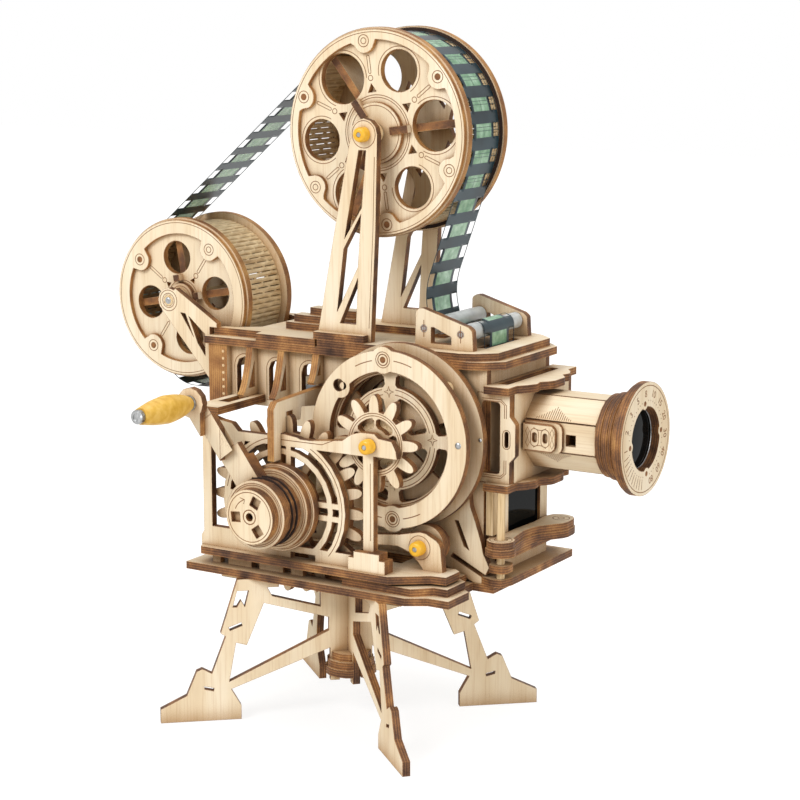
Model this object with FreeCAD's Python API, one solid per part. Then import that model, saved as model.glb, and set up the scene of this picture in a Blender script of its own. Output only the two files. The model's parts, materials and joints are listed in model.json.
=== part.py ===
import FreeCAD, Part
import math
import os

# Wooden projector kit, laser-cut plywood plates, all sizes in millimetres.
# X runs towards the lens, the gears face -Y, Z is up and the feet stand on Z = 0.
# The stand's own axis is at x = 0, y = 0 while the plates are drawn.
# Every solid is moved by ORIGIN at export, so that the box is centred.

# driving dimensions
T = 3.2                       # plywood
ORIGIN = (-7.65, -6.9)          # centre of the whole box in the drawing frame
GEAR_MODULE = 2.9
TEETH_CRANK = 24
TEETH_PINION = 12
FIT = 0.06                    # radial clearance of a turning fit
FLAT_DEPTH = 0.22             # how far a round outline drawn with flats cuts inside its circle

# stand and decks
FOOT_REACH = 81.0
LEG_TOP = 61.0
LEG_ANGLE_A = 41.1            # front left to back right
LEG_ANGLE_B = -41.9           # front right to back left
BASE_TOP = LEG_TOP + T
FLOOR_TOP = BASE_TOP + T
DECK_TOP = 71.5
BASE_BACK = 66.0

# planes of the plates, front faces
FRAME_Y = -24.7               # bearing frame before the gears
GEAR_Y = -20.6
RING_Y = -11.0                # ornamental ring
WHEEL_Y = RING_Y + T
BACK_RING_Y = 0.0
WALL_Y = 7.4
BODY_MID = 34.6
REAR_Y = 2 * BODY_MID - WALL_Y - T
TIER_FRONT = 3.2

# axles, x and z
CRANK = (-17.5, 93.3)
PINION_ANGLE = 35.0
CENTRES = GEAR_MODULE * (TEETH_CRANK + TEETH_PINION) / 2.0
PINION = (CRANK[0] + CENTRES * math.cos(math.radians(PINION_ANGLE)),
          CRANK[1] + CENTRES * math.sin(math.radians(PINION_ANGLE)))
PINION_PHASE = 2.3            # direction of one tooth
HANDLE = (-49.5, 136.5)
UPPER = (2.6, 245.0)
LEFT = (-99.0, 169.0)
LENS_Z = 125.7
AXLE_R = 2.4
AXLE_FLATS = 8

# reels
REEL_R = 43.2
SMALL_REEL_R = 35.4
REEL_FRONT = 16.3
FLANGE_T = 3.0
FLANGE_RIM = 1.9
FILM_W = 25.6

# decks of the housing
TIER_Z = 152.6
ROOF_Z = TIER_Z + T
ROOF_TOP = ROOF_Z + T
WALL_RIGHT = 61.1

os.makedirs("parts", exist_ok=True)


def vec(x, y, z=0.0):
    return FreeCAD.Vector(x, y, z)


def flats(radius):
    """Number of short flats that draw a full circle to about the flat depth, a multiple of four."""
    return 4 * max(2, int(round(math.pi / math.acos(1.0 - FLAT_DEPTH / radius) / 4.0)))


def arc_points(centre, radius, start, stop):
    """Points along an arc in degrees, both ends included."""
    count = max(2, int(math.ceil(abs(stop - start) / 360.0 * flats(radius))))
    return [polar(centre, radius, start + (stop - start) * i / count) for i in range(count + 1)]


def polygon(points):
    return Part.makePolygon([vec(u, v) for u, v in points + [points[0]]])


def loop(points):
    """Closed wire through (u, v) points, a third number rounds that corner with short flats."""
    count = len(points)
    outline = []
    for i in range(count):
        here = vec(points[i][0], points[i][1])
        radius = points[i][2] if len(points[i]) > 2 else 0.0
        if radius <= 0.0:
            outline.append((here.x, here.y))
            continue
        before = vec(points[i - 1][0], points[i - 1][1]) - here
        after = vec(points[(i + 1) % count][0], points[(i + 1) % count][1]) - here
        before.normalize()
        after.normalize()
        half = before.getAngle(after) / 2.0
        bisector = before + after
        bisector.normalize()
        middle = here + bisector * (radius / math.sin(half))
        run = radius / math.tan(half)
        first = here + before * run - middle
        last = here + after * run - middle
        start = math.degrees(math.atan2(first.y, first.x))
        turn = math.degrees(math.atan2(last.y, last.x)) - start
        turn = (turn + 180.0) % 360.0 - 180.0
        steps = max(1, int(round(abs(turn) / 32.0)))
        for k in range(steps + 1):
            outline.append(polar((middle.x, middle.y), radius, start + turn * k / steps))
    return polygon(outline)


def ring(u, v, radius):
    """Circle of a cut plate, drawn with short flats."""
    count = flats(radius)
    return polygon([polar((u, v), radius, 360.0 * i / count) for i in range(count)])


def bore(centre, radius):
    """Axle hole with its flats outside the circle, so that the axle never meets them."""
    count = AXLE_FLATS
    outer = radius / math.cos(math.pi / count)
    return polygon([polar(centre, outer, 360.0 * (i + 0.5) / count) for i in range(count)])


def rect(u0, v0, u1, v1, radius=0.0):
    return loop([(u0, v0, radius), (u1, v0, radius), (u1, v1, radius), (u0, v1, radius)])


def bar(a, b, width, radius=0.0):
    """Strip between two points."""
    run = vec(b[0] - a[0], b[1] - a[1])
    run.normalize()
    side = vec(-run.y, run.x) * (width / 2.0)
    return loop([(a[0] + side.x, a[1] + side.y, radius), (b[0] + side.x, b[1] + side.y, radius),
                 (b[0] - side.x, b[1] - side.y, radius), (a[0] - side.x, a[1] - side.y, radius)])


def place(solid, plane, start):
    """Turn a solid drawn on XY into its plane: 'xy', 'xz' or 'yz'."""
    if plane == "xy":
        return solid.translated(vec(0, 0, start))
    if plane == "xz":
        turned = solid.rotated(vec(0, 0, 0), vec(1, 0, 0), 90)
        return turned.translated(vec(0, start, 0))
    turned = solid.rotated(vec(0, 0, 0), vec(1, 0, 0), 90)
    turned = turned.rotated(vec(0, 0, 0), vec(0, 0, 1), 90)
    return turned.translated(vec(start, 0, 0))


def plate(outer, holes, plane, start, thick=T):
    """Plate between start and start + thick along the plane's normal."""
    face = Part.makeFace([outer] + list(holes), "Part::FaceMakerBullseye")
    solid = face.extrude(vec(0, 0, thick))
    if plane == "xy":
        return place(solid, plane, start)
    if plane == "xz":
        return place(solid, plane, start + thick)
    return place(solid, plane, start)


def disc(centre, radius, y, thick=T, hole=0.0):
    holes = []
    if hole > 4.0:
        holes.append(ring(centre[0], centre[1], hole))
    elif hole > 0.0:
        holes.append(bore(centre, hole))
    return plate(ring(centre[0], centre[1], radius), holes, "xz", y, thick)


def post(centre, radius, y0, y1):
    """Round post along Y drawn with flats."""
    return plate(ring(centre[0], centre[1], radius), [], "xz", y0, y1 - y0)


def rod(centre, radius, y0, y1):
    """Axle along Y."""
    points = [polar(centre, radius, 360.0 * (i + 0.5) / AXLE_FLATS) for i in range(AXLE_FLATS)]
    return plate(polygon(points), [], "xz", y0, y1 - y0)


def drill(centre, radius, y0, y1):
    """Tool for an axle hole along Y."""
    return plate(bore(centre, radius), [], "xz", y0, y1 - y0)


def turned(profile, centre, axis="y"):
    """Turned solid from (along, radius) points on its outside, closed by flat facets."""
    count = flats(max(r for a, r in profile))
    rims = []
    for along, radius in profile:
        points = [polar((0.0, 0.0), radius, 360.0 * i / count) for i in range(count)]
        rims.append([vec(u, v, along) for u, v in points])
    faces = [Part.Face(Part.makePolygon(end + end[:1])) for end in (rims[0], rims[-1])]
    for low, high in zip(rims, rims[1:]):
        for i in range(count):
            j = (i + 1) % count
            faces.append(Part.Face(Part.makePolygon([low[i], low[j], high[j], high[i], low[i]])))
    solid = Part.Solid(Part.makeShell(faces))
    if solid.Volume < 0.0:
        solid.reverse()
    if axis == "y":
        solid = solid.rotated(vec(0, 0, 0), vec(1, 0, 0), -90)
        return solid.translated(vec(centre[0], 0, centre[1]))
    solid = solid.rotated(vec(0, 0, 0), vec(0, 1, 0), 90)
    return solid.translated(vec(0, centre[0], centre[1]))


def union(*solids):
    whole = solids[0]
    for solid in solids[1:]:
        whole = whole.fuse(solid)
    return whole.removeSplitter()


def polar(centre, radius, degrees):
    angle = math.radians(degrees)
    return (centre[0] + radius * math.cos(angle), centre[1] + radius * math.sin(angle))


def arc_loop(centre, inner, outer, start, stop):
    """Ring sector as a wire."""
    return polygon(arc_points(centre, outer, start, stop) + arc_points(centre, inner, stop, start))


def gear_loop(centre, teeth, phase):
    """Outline of a gear with long rounded teeth; tooth 0 points at the phase angle."""
    pitch_r = GEAR_MODULE * teeth / 2.0
    tip_r = pitch_r + 2.75
    root_r = pitch_r - 4.1
    half_tooth = ((root_r, 2.35), (pitch_r + 0.4, 1.9), (tip_r - 0.2, 0.8))
    points = []
    for i in range(teeth):
        direction = phase + i * 360.0 / teeth
        for radius, half in half_tooth:
            points.append(polar(centre, radius, direction - math.degrees(half / radius)))
        for radius, half in reversed(half_tooth):
            points.append(polar(centre, radius, direction + math.degrees(half / radius)))
    return polygon(points)


def export(name, *solids):
    """Write a node; several solids stay separate in one file."""
    moved = [s.translated(vec(-ORIGIN[0], -ORIGIN[1], 0)) for s in solids]
    whole = moved[0] if len(moved) == 1 else Part.makeCompound(moved)
    whole.exportStep("parts/" + name + ".step")


# stand: two crossing plates, each carrying a pair of opposite legs
HALF_LEG = [(48.0, LEG_TOP), (55.3, 38.0), (53.2, 36.4), (59.2, 20.6), (63.2, 22.8), (65.6, 21.8),
            (69.9, 11.4), (FOOT_REACH, 6.0), (FOOT_REACH, 0.0), (47.0, 0.0), (47.0, 6.0),
            (49.2, 9.9), (51.2, 13.4), (9.0, 29.4), (9.0, 15.0), (5.0, 15.0), (5.0, 18.0)]
# cut-outs of one leg: triangle, top bar, two slots by the block and one in the foot
LEG_HOLES = [[(9.5, 42.8), (37.0, 50.3), (44.4, 32.3), (48.9, 33.6), (52.0, 16.6), (9.5, 37.0)],
             [(13.0, 57.0), (35.5, 57.0), (33.5, 53.2), (13.0, 47.6)],
             [(43.2, 56.0), (48.2, 56.0), (50.1, 49.0), (48.3, 49.0), (46.6, 51.8), (45.0, 49.0)],
             [(46.6, 42.4), (52.0, 40.4), (51.4, 38.9), (46.1, 40.9)],
             [(58.4, 14.2), (62.6, 15.2), (62.4, 13.8), (58.6, 12.9)]]


def leg_plate():
    outline = HALF_LEG + [(-r, z) for r, z in reversed(HALF_LEG)]
    holes = []
    for side in (1, -1):
        holes += [loop([(side * r, z) for r, z in corners]) for corners in LEG_HOLES]
    return plate(loop(outline), holes, "xz", -T / 2.0)


half_lap = Part.makeBox(400, 400, 38.0, vec(-200, -200, 0))
leg_a = leg_plate().rotated(vec(0, 0, 0), vec(0, 0, 1), LEG_ANGLE_A)
leg_b = leg_plate().rotated(vec(0, 0, 0), vec(0, 0, 1), LEG_ANGLE_B)
slab = Part.makeBox(60, T + 0.04, 80, vec(-30, -T / 2.0 - 0.02, 0))
slab_a = slab.rotated(vec(0, 0, 0), vec(0, 0, 1), LEG_ANGLE_A)
slab_b = slab.rotated(vec(0, 0, 0), vec(0, 0, 1), LEG_ANGLE_B)
# the crank gear dips between the legs, so one top bar is notched for it
gear_room = Part.makeBox(46, 4.6, 10, vec(CRANK[0] - 23, GEAR_Y - 0.7, LEG_TOP - 6.4))
export("leg_pair_left", leg_a.cut(slab_b.common(half_lap)).cut(gear_room))
export("leg_pair_right", leg_b.cut(slab_a.cut(half_lap)))

hub_discs = []
for bottom, radius in ((18.2, 11.0), (21.4, 10.2), (24.6, 8.6)):
    washer = plate(ring(0, 0, radius), [], "xy", bottom, T)
    hub_discs.append(washer.cut(slab_a).cut(slab_b))
export("stand_collar", *hub_discs)

# base plate, with the wider part under the housing
base = plate(loop([(-64, -29.5), (45, -30.5), (53, -25.6), (62.5, -25.6), (62.5, -9), (57, -5),
                   (57, 3.8), (66.8, 3.8), (66.8, BASE_BACK), (-64, BASE_BACK)]),
             [rect(-44.0, -21.4, 9.0, -16.6)], "xy", LEG_TOP)
export("base_plate", base)
apron = plate(loop([(13, -26.7), (46, -27.5), (53, -20.8), (59.2, -20.8), (59.2, -6), (54, -2.5),
                    (54, 3.9), (13, 3.9)]), [], "xy", BASE_TOP)
export("apron_plate", apron)
deck = plate(loop([(-59.2, -24.3), (-57, -28.4), (36.3, -29.2), (50.5, -18.8), (57, -18), (57, -7),
                   (54, -4.6), (40, -4.6), (34, 7.2), (-50, 7.2), (-59.2, -2)]),
             [rect(-49.5, -21.4, 14.5, -16.6), rect(-40, -12.4, -1, 4.0), rect(4, -8, 30, 4.0)],
             "xy", DECK_TOP - T)
export("deck_plate", deck)
blocks = []
for x, length in ((-54, 4), (-46, 12), (-30, 12), (-14, 6)):
    blocks.append(Part.makeBox(length, 3, DECK_TOP - T - BASE_TOP, vec(x, -24, BASE_TOP)))
for x, y in ((8, -25), (24, -25), (47, -15.5), (47, -9.5)):
    blocks.append(Part.makeBox(6, 3, DECK_TOP - T - FLOOR_TOP, vec(x, y, FLOOR_TOP)))
for x in (-52.5, 28.0):
    blocks.append(Part.makeBox(9, T, 4.0, vec(x, -20.0, LEG_TOP - 4.0)))
export("deck_blocks", *blocks)

# bearing frame before the gears: ring about the crank, post and long bar
FRAME_RING = 30.4
ring_centre = (CRANK[0] + 0.6, CRANK[1])
outer_band = disc(ring_centre, FRAME_RING, FRAME_Y, T, 27.3)
inner_band = disc(ring_centre, 24.4, FRAME_Y, T, 21.9)
hub_plate = disc(CRANK, 17.0, FRAME_Y, T)
spokes = []
for angle in (0.0, 90.0, 180.0):
    for side in (-1.0, 1.0):
        shift = polar((0, 0), 2.7 * side, angle + 90.0)
        inner = polar(ring_centre, 14.0, angle)
        outer = polar(ring_centre, 28.0, angle)
        spokes.append(plate(bar((inner[0] + shift[0], inner[1] + shift[1]),
                                (outer[0] + shift[0], outer[1] + shift[1]), 2.4), [], "xz", FRAME_Y))
sill = plate(loop([(-59.2, DECK_TOP), (34.2, DECK_TOP), (34.2, 77.0), (31.6, 77.0), (31.6, 79.6),
                   (27, 79.6), (27, 119), (38, 118.9), (37.5, 122.2), (35.4, 126.0), (29.3, 126.6),
                   (27.3, 128.3), (21, 128.3), (16.5, 127), (12.2, 124), (-3.6, 122.2), (-23.8, 122.5),
                   (-39.4, 122.4), (-42.6, 125.6), (-48, 126.3), (-57.8, 128.8), (-57.8, 77.5),
                   (-59.2, 75.6)]),
             [loop([(-53.4, 80), (-43, 80), (-38, 88), (-35, 112), (-40, 115), (-42.6, 118), (-53.4, 118)])],
             "xz", FRAME_Y)
window = plate(loop([(-38.0, 76.9), (-26, 76.9), (22, 76.9), (22, 118.6), (-23.8, 118.6), (-36, 118.6),
                     (-39.5, 104), (-41.5, 92)]), [], "xz", FRAME_Y)
frame = union(sill.cut(window), outer_band, inner_band, hub_plate, *spokes)
foot_gap = plate(rect(-13.6, DECK_TOP - 1, -1.4, 74.2), [], "xz", FRAME_Y)
below_deck = Part.makeBox(120, 20, DECK_TOP - 40.0, vec(-80, FRAME_Y - 5, 40.0))
frame = frame.cut(below_deck).cut(foot_gap).cut(drill(CRANK, AXLE_R + FIT, FRAME_Y - 1, FRAME_Y + T + 1))
frame = frame.cut(drill(PINION, AXLE_R + FIT, FRAME_Y - 1, FRAME_Y + T + 1))
shoe = plate(loop([(16.7, DECK_TOP), (34.2, DECK_TOP), (34.2, 77), (31.6, 77), (31.6, 79.6),
                   (19.4, 79.6), (19.4, 77), (16.7, 77)]), [], "xz", FRAME_Y - T)
export("bearing_frame", frame, shoe)

# links between the frame and the housing
shelf = plate(loop([(-60, -27.4), (-47.8, -27.4), (-47.8, WALL_Y), (-60, WALL_Y)]),
              [rect(-56.5, -15, -51, 0)], "xy", 128.8)
arm_pts = [(-30, 112.8), (-25, 112.8), (-25, 123.8), (-21.2, 123.8), (-21.2, 132.2), (-16.2, 132.2),
           (-16.2, 127.4), (-10.5, 127.4), (-9.5, 132.6), (WALL_Y, 130.4), (WALL_Y, 138.6),
           (-27.5, 137.2), (-30, 134.5)]
export("frame_links", shelf)
link_arm = plate(loop(arm_pts), [], "yz", -20.9)


def corbel(x, foot_z, reach):
    drop = TIER_Z - foot_z
    tip = WALL_Y - reach
    hollow = loop([(WALL_Y - 2.4, TIER_Z - drop * 0.28), (WALL_Y - 2.4, foot_z + 3.6),
                   (tip + reach * 0.38, foot_z + 3.6)])
    outline = []
    for k in range(6):
        t = k / 5.0
        y = WALL_Y - 3.6 - (reach - 3.6) * t
        outline.append((y, TIER_Z - (drop - 1.2) * (1.0 - (1.0 - t) ** 1.7)))
    outline += [(tip + 1.0, foot_z), (WALL_Y, foot_z), (WALL_Y, TIER_Z)]
    wire = polygon(outline)
    return plate(wire, [hollow], "yz", x - T / 2.0)


small_corbel = corbel(-19.3, 140.0, 8.0)
export("corbels", corbel(-53.2, 132.0, 11.0), corbel(-36.9, 132.0, 11.0), small_corbel, link_arm)

# housing walls
arches = []
for i in range(3):
    x = -58.4 + 16.8 * i
    arches.append(polygon([(x + 4.1, 131.0)] + arc_points((x, 143.5), 4.1, 0, 180) + [(x - 4.1, 131.0)]))
wall_outline = [(-71.5, 127.0), (-46, 127.0), (-46, FLOOR_TOP), (60.0, FLOOR_TOP), (60.0, 106.2),
                (56.8, 106.2), (56.8, 143.4), (WALL_RIGHT, 143.4), (WALL_RIGHT, TIER_Z), (-71.5, TIER_Z)]
gear_windows = [ring(PINION[0], PINION[1], 25.0), rect(-40, 74, -22, 120), rect(-16, 74, -4, 114)]
bridge = plate(bar(polar(PINION, 26.0, 45), polar(PINION, 26.0, 225), 12.0), [], "xz", WALL_Y)
front_wall = plate(loop(wall_outline), arches + gear_windows, "xz", WALL_Y)
front_wall = union(front_wall, bridge)
for centre in (CRANK, PINION):
    front_wall = front_wall.cut(drill(centre, AXLE_R + FIT, 0, 20))
export("front_wall", front_wall)
rear_arches = [a.copy() for a in arches]
rear_wall = plate(loop(wall_outline), rear_arches, "xz", REAR_Y)
rear_wall = rear_wall.cut(drill(CRANK, AXLE_R + FIT, 40, 80)).cut(drill(PINION, AXLE_R + FIT, 40, 80))
export("rear_wall", rear_wall)
INNER0 = WALL_Y + T
INNER1 = REAR_Y
gate_window = rect(20.5, 78, 48.7, 100)
end_wall = plate(rect(INNER0, FLOOR_TOP, INNER1, TIER_Z), [gate_window, ring(BODY_MID, LENS_Z, 13.4)],
                 "yz", WALL_RIGHT - T)
back_wall = plate(rect(INNER0, FLOOR_TOP, INNER1, 126.8), [rect(18, 96, 51, 122, 2.0)], "yz", -46)
export("cross_walls", end_wall, back_wall)
DOWEL = (68.8, 6.0)
DOWEL_R = 1.7
floor = plate(loop([(-46, WALL_Y), (61, WALL_Y), (61, 4.2), (66.5, 2.0, 2.0), (71.0, 2.6, 2.0),
                    (72.6, 9.0), (72.6, 63.2), (-46, 63.2)]),
              [bore(DOWEL, DOWEL_R)], "xy", BASE_TOP)
export("housing_floor", floor)

posts = []
for front in (4.2, REAR_Y + T):
    for i in range(3):
        posts.append(Part.makeBox(T, T, TIER_Z - 127.0, vec(-75.2 + i * (T + 0.02), front, 127.0)))
export("end_posts", *posts)

# decks over the housing, notched for the small reel and the film
tier_notch = loop([(-80, 15.0), (-61.5, 15.0, 4.0), (-61.5, 54.5, 4.0), (-80, 54.5)])
notch_solid = plate(tier_notch, [], "xy", TIER_Z - 1, 10)
TIER_BACK = 66.0
FILM_SLOT = (49.6, 19.6, 53.8, 49.2)
lower_tier = plate(loop([(-76.8, TIER_FRONT), (58, TIER_FRONT, 9.0), (67.0, 12.0), (67.0, 57.2),
                         (58.0, TIER_BACK, 9.0), (-76.8, TIER_BACK)]),
                   [rect(*FILM_SLOT)], "xy", TIER_Z)
export("lower_tier", lower_tier.cut(notch_solid))
horn = loop([(-75.4, 9.0), (-50.5, 9.0), (-49.5, TIER_FRONT), (-19.5, TIER_FRONT), (-19.5, 5.6),
             (-18.3, 5.6), (-18.3, TIER_FRONT), (54, TIER_FRONT, 9.0), (63.6, 12.0), (63.6, 57.2),
             (54, TIER_BACK, 9.0), (-49.5, TIER_BACK), (-50.5, 60.2), (-75.4, 60.2)])
upper_tier = plate(horn, [rect(*FILM_SLOT), rect(-30, 18, 26, 51, 3.0)], "xy", ROOF_Z)
roof_gap = [(-80, 13.2), (-67.5, 13.2), (-58.0, 20.0), (-58.0, 49.2), (-67.5, 56.0), (-80, 56.0)]
roof_notch = plate(loop(roof_gap), [], "xy", ROOF_Z - 1, 10)
export("upper_tier", upper_tier.cut(roof_notch))

# ledges stepped beside the small reel, and the shoes of the reel towers
roof_plates = []
for i, (x0, x1, y0, y1) in enumerate(((-46.0, -14.0, 20.0, 27.0), (-43.0, -12.0, 22.0, 29.0),
                                      (-36.0, -12.0, 24.0, 31.0))):
    roof_plates.append(plate(loop([(x0, y0 + 1), (x0 + 6, y0), (x1, y0), (x1, y1), (x0, y1)]), [],
                             "xy", ROOF_TOP + i * T))
for y in (WALL_Y - 4.0, REAR_Y + T):
    roof_plates.append(plate(rect(-20.5, y, 4.5, y + 4.0, 0.6), [], "xy", ROOF_TOP))
export("roof_plates", *roof_plates)

# ornamental ring, fixed wheel and backing ring round the pinion
def bolt_lobes():
    lobes = []
    for angle, radius in ((94.0, 32.8), (274.0, 32.8)):
        lobes.append(disc(polar(PINION, radius, angle), 5.6, RING_Y))
    lobes.append(disc(polar(PINION, 30.2, 139.0), 4.6, RING_Y))
    return lobes


ring_body = union(disc(PINION, 36.8, RING_Y, T, 28.2), *bolt_lobes())
comma = plate(ring(*polar(PINION, 31.2, 139.0), 2.6), [], "xz", RING_Y)
ring_body = ring_body.cut(comma.cut(disc(polar(PINION, 29.4, 136.0), 1.7, RING_Y)))
export("front_ring", ring_body)
wheel_holes = []
for start in (4.0, 94.0, 184.0, 274.0):
    wheel_holes.append(arc_loop(PINION, 21.4, 26.6, start + 4.5, start + 81.5))
    wheel_holes.append(arc_loop(PINION, 8.6, 17.3, start + 10.0, start + 76.0))
wheel = plate(ring(PINION[0], PINION[1], 33.5), wheel_holes, "xz", WHEEL_Y)
wheel = wheel.cut(drill(PINION, AXLE_R + 0.4, -30, 20))
export("spoked_wheel", wheel)
spacers = []
for angle in (45, 135, 225, 315):
    spot = polar(PINION, 31.0, angle)
    spacers.append(post(spot, 2.6, WHEEL_Y + T, BACK_RING_Y))
    spacers.append(post(spot, 2.6, BACK_RING_Y + T, WALL_Y))
export("backing_ring", disc(PINION, 38.4, BACK_RING_Y, T, 27.0), *spacers)

buttress = plate(loop([(38.5, 92.0), (48.5, 97.0), (52.3, 103.3), (54.7, 102.6), (55.4, 96.0), (57.8, 89.9),
                       (60.6, 81.5), (61.6, 77.0), (64.4, 71.5), (62.8, 68.2), (47.5, 75.6), (46.3, 74.0),
                       (62.9, 66.2), (62.9, 65.4), (61.5, BASE_TOP), (57.5, BASE_TOP), (38.5, 72.0)]),
                 [loop([(48.2, 89.5), (50.0, 89.5), (55.2, 77.5), (52.6, 79.0)]),
                  loop([(40.6, 88.2), (42.2, 89.5), (44.6, 92.5), (43.0, 94.0), (40.6, 92.0)])],
                 "xz", WALL_Y - T)
export("buttress", buttress.cut(floor))

# idler roller behind its bracket
IDLER = (41.4, 80.6)
IDLER_R = 8.6
IDLER_Y = -7.4
PIN_R = 1.5
BRACKET_Y = -12.6
bracket = plate(loop([(-2, 80.8), (31.5, 84.8), (43.0, 87.4, 4.0), (51.0, 83.6, 4.0), (52.2, DECK_TOP),
                      (43.2, DECK_TOP), (38.4, 77.6), (31.0, 80.0), (-2, 77.6)]),
                [bore(IDLER, PIN_R)], "xz", BRACKET_Y)
export("idler_bracket", bracket)
idler_front = disc(IDLER, IDLER_R, IDLER_Y, T, PIN_R + FIT)
export("idler", union(idler_front, disc(IDLER, IDLER_R - 0.9, IDLER_Y + T, T, PIN_R + FIT)))

# crank shaft, drum, arm and gear turn together
gear_holes = [bore(CRANK, AXLE_R)]
for i in range(6):
    gear_holes.append(arc_loop(CRANK, 10.0, 26.6, 60 * i + 5, 60 * i + 55))
mesh_offset = ((PINION_ANGLE + 180.0 - PINION_PHASE) % (360.0 / TEETH_PINION))
CRANK_PHASE = PINION_ANGLE + 180.0 / TEETH_CRANK + mesh_offset * TEETH_PINION / TEETH_CRANK
crank_gear = plate(gear_loop(CRANK, TEETH_CRANK, CRANK_PHASE), gear_holes, "xz", GEAR_Y)
export("crank_gear", crank_gear)
export("crank_shaft", rod(CRANK, AXLE_R, -44.2, REAR_Y + T + 2.0))
drum_front = union(disc(CRANK, 11.4, -48.3, 4.1, 1.7), disc(CRANK, 14.4, -44.2, T, 1.7))
for angle in (65.0, 185.0, 305.0):
    pocket = plate(bar(polar(CRANK, 3.4, angle), polar(CRANK, 10.0, angle), 4.4), [], "xz", -48.4, 2.2)
    drum_front = drum_front.cut(pocket)
drum_back = union(disc(CRANK, 16.9, -31.2, 2.8, AXLE_R), disc(CRANK, 18.4, -28.4, 3.2, AXLE_R))
export("crank_drums", drum_front.cut(drill(CRANK, AXLE_R, -44.2, -30)), drum_back)

arm_run = vec(HANDLE[0] - CRANK[0], HANDLE[1] - CRANK[1])
arm_length = arm_run.Length
arm_angle = math.degrees(math.atan2(arm_run.y, arm_run.x))
steps = []
# layers of the arm from the hub out, each (near end, far end, width, front face)
layers = ((0.0, 24.0, 11.6, -34.4), (12.0, 30.0, 11.6, -37.6),
          (20.0, 45.5, 8.2, -40.8), (28.0, arm_length, 8.2, -44.0))
for near, far, width, y in layers:
    a = polar(CRANK, near, arm_angle)
    b = polar(CRANK, far, arm_angle)
    steps.append(plate(bar(a, b, width), [], "xz", y, T + 0.001))
for reach, y in ((33.0, -40.8), (45.5, -44.0)):
    edge = polar(CRANK, reach, arm_angle)
    waste = plate(rect(edge[0], edge[1] - 30, edge[0] + 30, edge[1] + 30), [], "xz", y, T - 0.001)
    steps = [step.cut(waste) for step in steps]
hub_arm = disc(CRANK, 13.8, -41.0, 9.8, AXLE_R)
end_disc = disc(HANDLE, 6.4, -44.0, T)
arm = union(*steps, end_disc)
arm = arm.cut(drill(CRANK, 13.8, -60, -20)).fuse(hub_arm)
arm = arm.cut(drill(HANDLE, 1.6, -60, -30))
export("crank_arm", arm.removeSplitter())
GRIP0 = -77.0
GRIP1 = -45.4
BOLT_R = 1.6
grip_profile = [(GRIP0, 3.5), (GRIP0 + 3, 4.1), (GRIP1 - 23, 5.2), (GRIP1 - 15, 5.9), (GRIP1 - 8, 5.3),
                (GRIP1 - 3, 4.0), (GRIP1, 3.0)]
grip = turned(grip_profile, HANDLE)
export("handle_grip", grip.cut(drill(HANDLE, BOLT_R + FIT, GRIP0 - 1, GRIP1 + 1)))
bolt = union(rod(HANDLE, BOLT_R, GRIP0 - 0.4, -38.6), post(HANDLE, 2.9, GRIP0 - 2.8, GRIP0 - 0.3),
             post(HANDLE, 3.2, -45.0, -44.0), post(HANDLE, 2.9, -40.8, -38.9))
export("handle_bolt", bolt)

# pinion, its shaft, the shutter and the cap turn together
pinion_holes = [bore(PINION, AXLE_R)]
for i in range(6):
    pinion_holes.append(arc_loop(PINION, 6.6, 10.6, 60 * i + 33, 60 * i + 87))
export("pinion", plate(gear_loop(PINION, TEETH_PINION, PINION_PHASE), pinion_holes, "xz", GEAR_Y))
CAP_R = 3.9
CAP_LENGTH = 4.2
PINION_FRONT = FRAME_Y - 0.4


def cap(centre, y, way):
    """Turned end cap whose seat is at y; way is -1 towards the front."""
    profile = [(y, CAP_R), (y + way * 2.8, CAP_R), (y + way * CAP_LENGTH, CAP_R - 0.9)]
    return turned(profile, centre).cut(drill(centre, AXLE_R, *sorted((y, y + way * 2.4))))


def axle(centre, y0, y1, *collars):
    """Axle with wider collars given as (y0, y1, radius)."""
    return union(rod(centre, AXLE_R, y0, y1), *[post(centre, r, a, b) for a, b, r in collars])


export("pinion_shaft", axle(PINION, PINION_FRONT - 2.4, REAR_Y + T + 2.0, (GEAR_Y + T, -12.4, 9.4)))
export("pinion_cap", cap(PINION, PINION_FRONT, -1))
SHUTTER_Y = -3.3
blades = [disc(PINION, 9.0, SHUTTER_Y, 1.6)]
for start in (20.0, 140.0, 260.0):
    blades.append(plate(arc_loop(PINION, 8.0, 26.4, start, start + 62.0), [], "xz", SHUTTER_Y, 1.6))
export("shutter", union(*blades).cut(drill(PINION, AXLE_R, -10, 10)))

# lens box on the end wall
LENS_BOTTOM = 106.4
LENS_TOP = 143.3
LENS_LEFT = 56.9
FACE_X = 68.8
SIDE_RIGHT = 71.6
side_loop = [(LENS_LEFT, LENS_BOTTOM), (SIDE_RIGHT, LENS_BOTTOM), (SIDE_RIGHT, 115.4), (74.2, 118.3),
             (74.2, 131.4), (SIDE_RIGHT, 134.4), (SIDE_RIGHT, LENS_TOP), (LENS_LEFT, LENS_TOP)]
sides = []
for y in (WALL_Y, REAR_Y):
    side_holes = [rect(58.8, 110.3, 67.2, 139.9, 1.4), rect(69.3, 121.5, 71.1, 128.2, 0.85)]
    sides.append(plate(loop(side_loop), side_holes, "xz", y))
export("lens_sides", *sides)
lens_face = plate(rect(INNER0, LENS_BOTTOM, INNER1, LENS_TOP), [ring(BODY_MID, LENS_Z, 12.0)], "yz", FACE_X)
export("lens_face", lens_face)
CAP_FRONT = 4.4
half_wave = [(72.4, 12.0), (75.2, 15.5), (77.4, 20.0, 2.0), (76.2, 24.5), (80.0, 29.5, 3.0)]
cap_loop = [(WALL_RIGHT, CAP_FRONT), (72.4, CAP_FRONT)] + half_wave
for point in reversed(half_wave):
    cap_loop.append((point[0], 2 * BODY_MID - point[1]) + tuple(point[2:]))
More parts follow.
